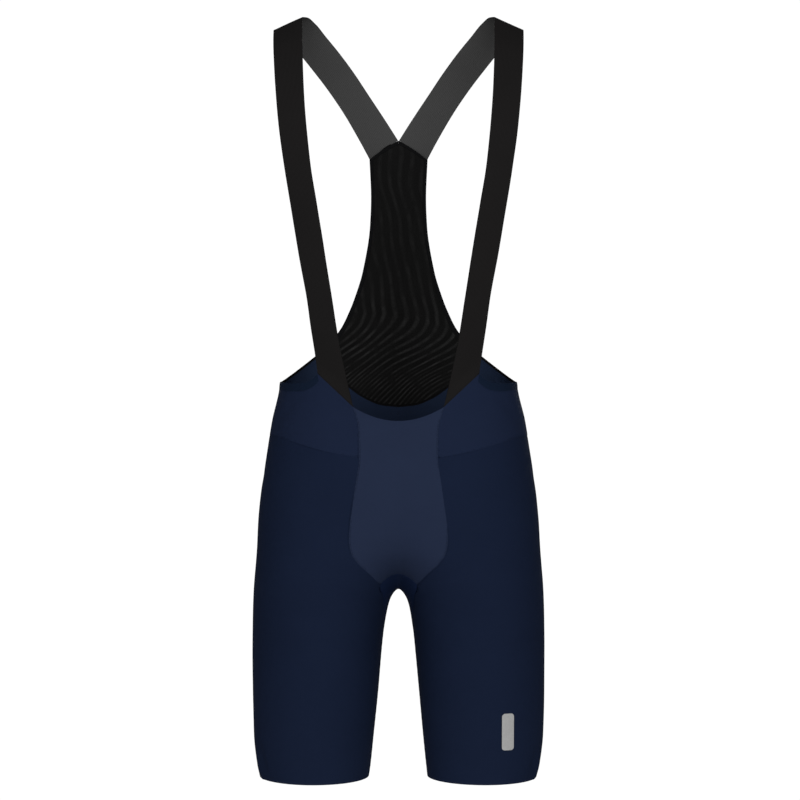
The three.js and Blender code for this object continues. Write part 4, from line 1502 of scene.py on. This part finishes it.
def tab_knot(share, v):
    height = lerp(TAB_BOTTOM, TAB_TOP, v)
    to_end = min(height - TAB_BOTTOM, TAB_TOP - height, TAB_CORNER)
    cut = TAB_CORNER - math.sqrt(TAB_CORNER**2 - (TAB_CORNER - to_end) ** 2)
    point, normal = on_front(TAB_MIDDLE + (TAB_HALF - cut) * share, height)
    return point + normal * TAB_LIFT, normal


tab_vs = [0.5 - 0.5 * math.cos(math.pi * v) for v in shares(40)]
tab_knots = [[tab_knot(2 * u - 1, v) for u in shares(14)] for v in tab_vs]
tab, size = cloth("reflective_tab_film", tab_knots, TAB_FILM, [bead_material()])
dress(tab, ["reflective_tab"])
print("tab in metres:", [round(value, 4) for value in size])

# %% [markdown]
# ## Stitches
# The panels are joined with a flat seam: two rows of short stitches with a thread that crosses
# between them, so nothing rubs. One stitch is a small bead with few faces, stretched along the
# seam, and a loop lays it down at an even pitch.

# %% Laying stitches
STITCH_LENGTH = 2.2 * MM
STITCH_PITCH = 2.7 * MM
STITCH_WIDTH = 0.34 * MM
ROW_OFFSET = 1.5 * MM


def walk(knots, pitch):
    """Knots at an even pitch along a path, each with its direction."""
    run = cumulative([point for point, _ in knots])
    count = int(run[-1] / pitch)
    places = []
    i = 0
    for k in range(count):
        at = (k + 0.5) * run[-1] / count
        while run[i + 1] < at:
            i += 1
        share = (at - run[i]) / (run[i + 1] - run[i])
        (p, normal), (q, _) = knots[i], knots[i + 1]
        places.append((p.lerp(q, share), normal, (q - p).normalized()))
    return places


def single_stitch():
    """One stitch as a small bead, 2 units long and wide, which each place stretches."""
    shape = bmesh.new()
    bmesh.ops.create_uvsphere(shape, u_segments=6, v_segments=4, radius=1.0)
    mesh = bpy.data.meshes.new("stitch")
    shape.to_mesh(mesh)
    shape.free()
    return mesh


STITCH = single_stitch()


def lay(shape, centre, along, normal, length):
    """Adds a copy of the stitch to a shape."""
    side = normal.cross(along).normalized()
    facing = Matrix((along, side, normal.cross(side).normalized())).transposed().to_4x4()
    size = Matrix.Diagonal((length / 2, STITCH_WIDTH / 2, STITCH_WIDTH / 2.4, 1.0))
    copy = STITCH.copy()
    copy.transform(Matrix.Translation(centre) @ facing @ size)
    shape.from_mesh(copy)
    bpy.data.meshes.remove(copy)


def stitches(name, knots, finish, rows=(), crossing=0.0, lift=SHORTS_CLOTH / 2, side=1):
    """Rows of stitches along a path at offsets to its side, and a thread that zigzags across."""
    shape = bmesh.new()
    path = [mirror_knot(point, normal, side < 0) for point, normal in knots]
    places = walk(path, STITCH_PITCH)
    for k, (point, normal, along) in enumerate(places):
        sideways = normal.cross(along)
        over = point + normal * (lift - 0.12 * MM)
        for offset in rows:
            lay(shape, over + sideways * offset, along, normal, STITCH_LENGTH)
        if crossing:
            lean = 1 if k % 2 else -1
            slant = (along * STITCH_PITCH + sideways * lean * crossing).normalized()
            lay(shape, over, slant, normal, math.hypot(STITCH_PITCH, crossing))
    piece = add_piece(name, shape, [finish])
    dress(piece)
    return len(places)


print("one stitch has", len(STITCH.polygons), "faces")

# %% [markdown]
# The yoke seam, the centre-front panel, the gusset, the inseams and the centre-back seam are
# all sewn alike. Each path is read from the same line as the pieces' edges, so the stitches
# stay on the seam. A texture would be lighter, but real beads catch the light from the side.

# %% Seams of the shorts


def dense(place, first, last, count=160):
    return [place(lerp(first, last, share)) for share in shares(count)]


BOTH_ROWS = (-ROW_OFFSET, ROW_OFFSET)
CROSSING = 2.4 * MM


def arch_place(share):
    height = lerp(PANEL_ARCH_MIDDLE, PANEL_BOTTOM, share * share)
    return on_front(share * PANEL_EDGE[0][1], height)


yoke_path = [on_form(*yoke_seam(at)) for at in stations(0, COLUMNS, 8)]
panel_path = dense(lambda h: on_form(*panel_seam(h)), PANEL_BOTTOM, PANEL_TOP - 3 * MM)
gusset_path = dense(lambda row: on_form(*gusset_edge(row)), 0, GUSSET_TIP_ROW)
inseam_path = dense(lambda h: on_form(0.0, h), HEM + 2 * MM, CROTCH)
laid = 0
for side, side_name in SIDE_NAMES.items():
    for seam, path in (
        ("yoke", yoke_path),
        ("panel", panel_path),
        ("gusset", gusset_path),
        ("inseam", inseam_path),
    ):
        laid += stitches(f"{seam}_stitches_{side_name}", path, thread,
                         BOTH_ROWS, CROSSING, side=side)
back_path = dense(lambda h: on_back(0.0, h), GUSSET[GUSSET_TIP_ROW][2], CENTRE_BACK_TOP)
laid += stitches("centre_back_stitches", back_path, thread, BOTH_ROWS, CROSSING)
laid += stitches("arch_stitches", dense(arch_place, -1, 1), thread, BOTH_ROWS, CROSSING)
print("places stitched on the shorts:", laid)

# %% [markdown]
# The hem at the waist has two rows near its lower edge, and each tape is held by a zigzag.
# A strap is sewn down across each end, with two rows and a zigzag between them.

# %% Stitches of hems, tapes and straps


def strap_path(row):
    """Knots across a strap at a row of its table."""
    normals = [normal for _, normal in strap_knots[round(row * STRAP_STEPS)]]
    return [(strap_point(u, row), normals[round(u * STRAP_GRID_COLUMNS)]) for u in shares(36)]


for side, side_name in SIDE_NAMES.items():
    columns = [STRAP_END + STEP + k / 8 for k in range(48)]
    hem_line = yoke_strip(columns, lambda at, run: (run - WAIST_HEM, run - WAIST_HEM + MM), 1)[0]
    stitches(f"waist_hem_stitches_{side_name}", hem_line, thread,
             (-0.9 * MM, 0.9 * MM), side=side)
    columns = [SIDE + STEP + k / 8 for k in range(48)]
    arm_line = yoke_strip(columns, lambda at, run: (run - ARMHOLE_BINDING, run), 1)[0]
    stitches(f"armhole_stitches_{side_name}", arm_line, black_thread,
             (), 1.6 * MM, side=side)
    tape_line = [binding_knot(t, 0.8) for t in side_ts]
    stitches(f"back_tape_stitches_{side_name}", tape_line, black_thread,
             (), 1.6 * MM, lift=SHORTS_CLOTH / 2 + 0.2 * MM, side=side)
    for place, row in (("front", 0.25), ("back", STRAP_LAST - 0.25)):
        stitches(f"strap_{place}_stitches_{side_name}", strap_path(row), black_thread,
                 (-1.2 * MM, 1.2 * MM), 1.9 * MM, lift=STRAP_CLOTH / 2, side=side)
band_line = [mesh_knot(2 * u - 1, end_inset(2 * u - 1)) for u in shares(160)][4:-4]
stitches("mesh_seam_stitches", band_line, black_thread, (), 1.6 * MM)

# %% [markdown]
# ## Studio
# The picture shows the shorts on plain white, lit softly from the front. A pale floor lies
# below them, a wide area light stands on each side of the camera and one stands behind.

# %% Floor and light
FLOOR_HEIGHT = -1.06
FLOOR_REACH = 9.0
FADE_START = 0.25
FADE_END = 0.62
STUDIO_WHITE = 1.03
AMBIENT = 0.42


def pale_floor():
    shape = bmesh.new()
    bmesh.ops.create_grid(shape, x_segments=1, y_segments=1, size=FLOOR_REACH)
    bmesh.ops.translate(shape, verts=shape.verts, vec=(0, 0, FLOOR_HEIGHT))
    material = bpy.data.materials.new("pale floor")
    material.use_nodes = True
    tree = material.node_tree
    shader = tree.nodes["Principled BSDF"]
    shader.inputs["Base Color"].default_value = (0.8, 0.8, 0.8, 1)
    shader.inputs["Roughness"].default_value = 0.9
    shader.inputs["Specular IOR Level"].default_value = 0.1
    place = add_node(tree, "ShaderNodeTexCoord").outputs["Object"]
    flat = add_node(tree, "ShaderNodeVectorMath", {0: place, 1: (1, 1, 0)}, operation="MULTIPLY")
    reach = add_node(tree, "ShaderNodeVectorMath", {0: flat.outputs[0]}, operation="LENGTH")
    fade = {0: reach.outputs["Value"], 1: FADE_START, 2: FADE_END, 3: 0.0, 4: 1.0}
    away = add_node(tree, "ShaderNodeMapRange", fade, interpolation_type="SMOOTHSTEP").outputs[0]
    seen = add_node(tree, "ShaderNodeLightPath").outputs["Is Camera Ray"]
    strength = maths(tree, "MULTIPLY_ADD", seen, STUDIO_WHITE - AMBIENT, AMBIENT)
    glow = add_node(tree, "ShaderNodeEmission", {"Color": (1, 1, 1, 1), "Strength": strength})
    mix = {0: away, 1: shader.outputs[0], 2: glow.outputs[0]}
    surface = add_node(tree, "ShaderNodeMixShader", mix).outputs[0]
    tree.links.new(surface, tree.nodes["Material Output"].inputs["Surface"])
    floor = add_piece("floor", shape, [material])


def studio_world():
    world = bpy.data.worlds.new("studio")
    bpy.context.scene.world = world
    world.use_nodes = True
    tree = world.node_tree
    seen = add_node(tree, "ShaderNodeLightPath").outputs["Is Camera Ray"]
    strength = maths(tree, "MULTIPLY_ADD", seen, STUDIO_WHITE - AMBIENT, AMBIENT)
    tree.nodes["Background"].inputs["Color"].default_value = (1, 1, 1, 1)
    tree.links.new(strength, tree.nodes["Background"].inputs["Strength"])


def soft_light(name, place, target, size, power):
    light = bpy.data.lights.new(name, "AREA")
    light.shape = "RECTANGLE"
    light.size, light.size_y = size
    light.energy = power
    lamp = bpy.data.objects.new(name, light)
    lamp.location = place
    lamp.rotation_euler = (Vector(target) - Vector(place)).to_track_quat("-Z", "Y").to_euler()
    bpy.context.scene.collection.objects.link(lamp)


MIDDLE = (0.0, 0.0, -0.45)
pale_floor()
studio_world()
LIGHT_COLUMNS = ("name", "place", "size", "power")
LIGHTS = [
    ("key", (-0.9, -2.7, 0.15), (1.4, 2.0), 46),
    ("fill", (0.9, -2.7, 0.0), (1.4, 2.0), 58),
    ("back", (0.3, 2.7, 0.5), (2.4, 1.8), 46),
]
for row in LIGHTS:
    soft_light(target=MIDDLE, **dict(zip(LIGHT_COLUMNS, row)))
print("lights:", [f"{name} {power} W" for name, _, _, power in LIGHTS])

# %% [markdown]
# The camera looks level at the middle of the shorts from 2.5 m, with a long lens.

# %% Camera
CAMERA_DISTANCE = 2.5
PICTURE_WIDTH = 0.96
SENSOR = 36.0
camera = bpy.data.cameras.new("camera")
camera.sensor_width = SENSOR
camera.lens = SENSOR * CAMERA_DISTANCE / PICTURE_WIDTH
camera_object = bpy.data.objects.new("camera", camera)
camera_object.location = (1.8 * MM, -CAMERA_DISTANCE, -0.4542)
camera_object.rotation_euler = (math.pi / 2, 0, 0)
bpy.context.scene.collection.objects.link(camera_object)
bpy.context.scene.camera = camera_object
bpy.context.scene.view_settings.view_transform = "Standard"
bpy.context.scene.view_settings.look = "None"
print("lens:", camera.lens, "mm")
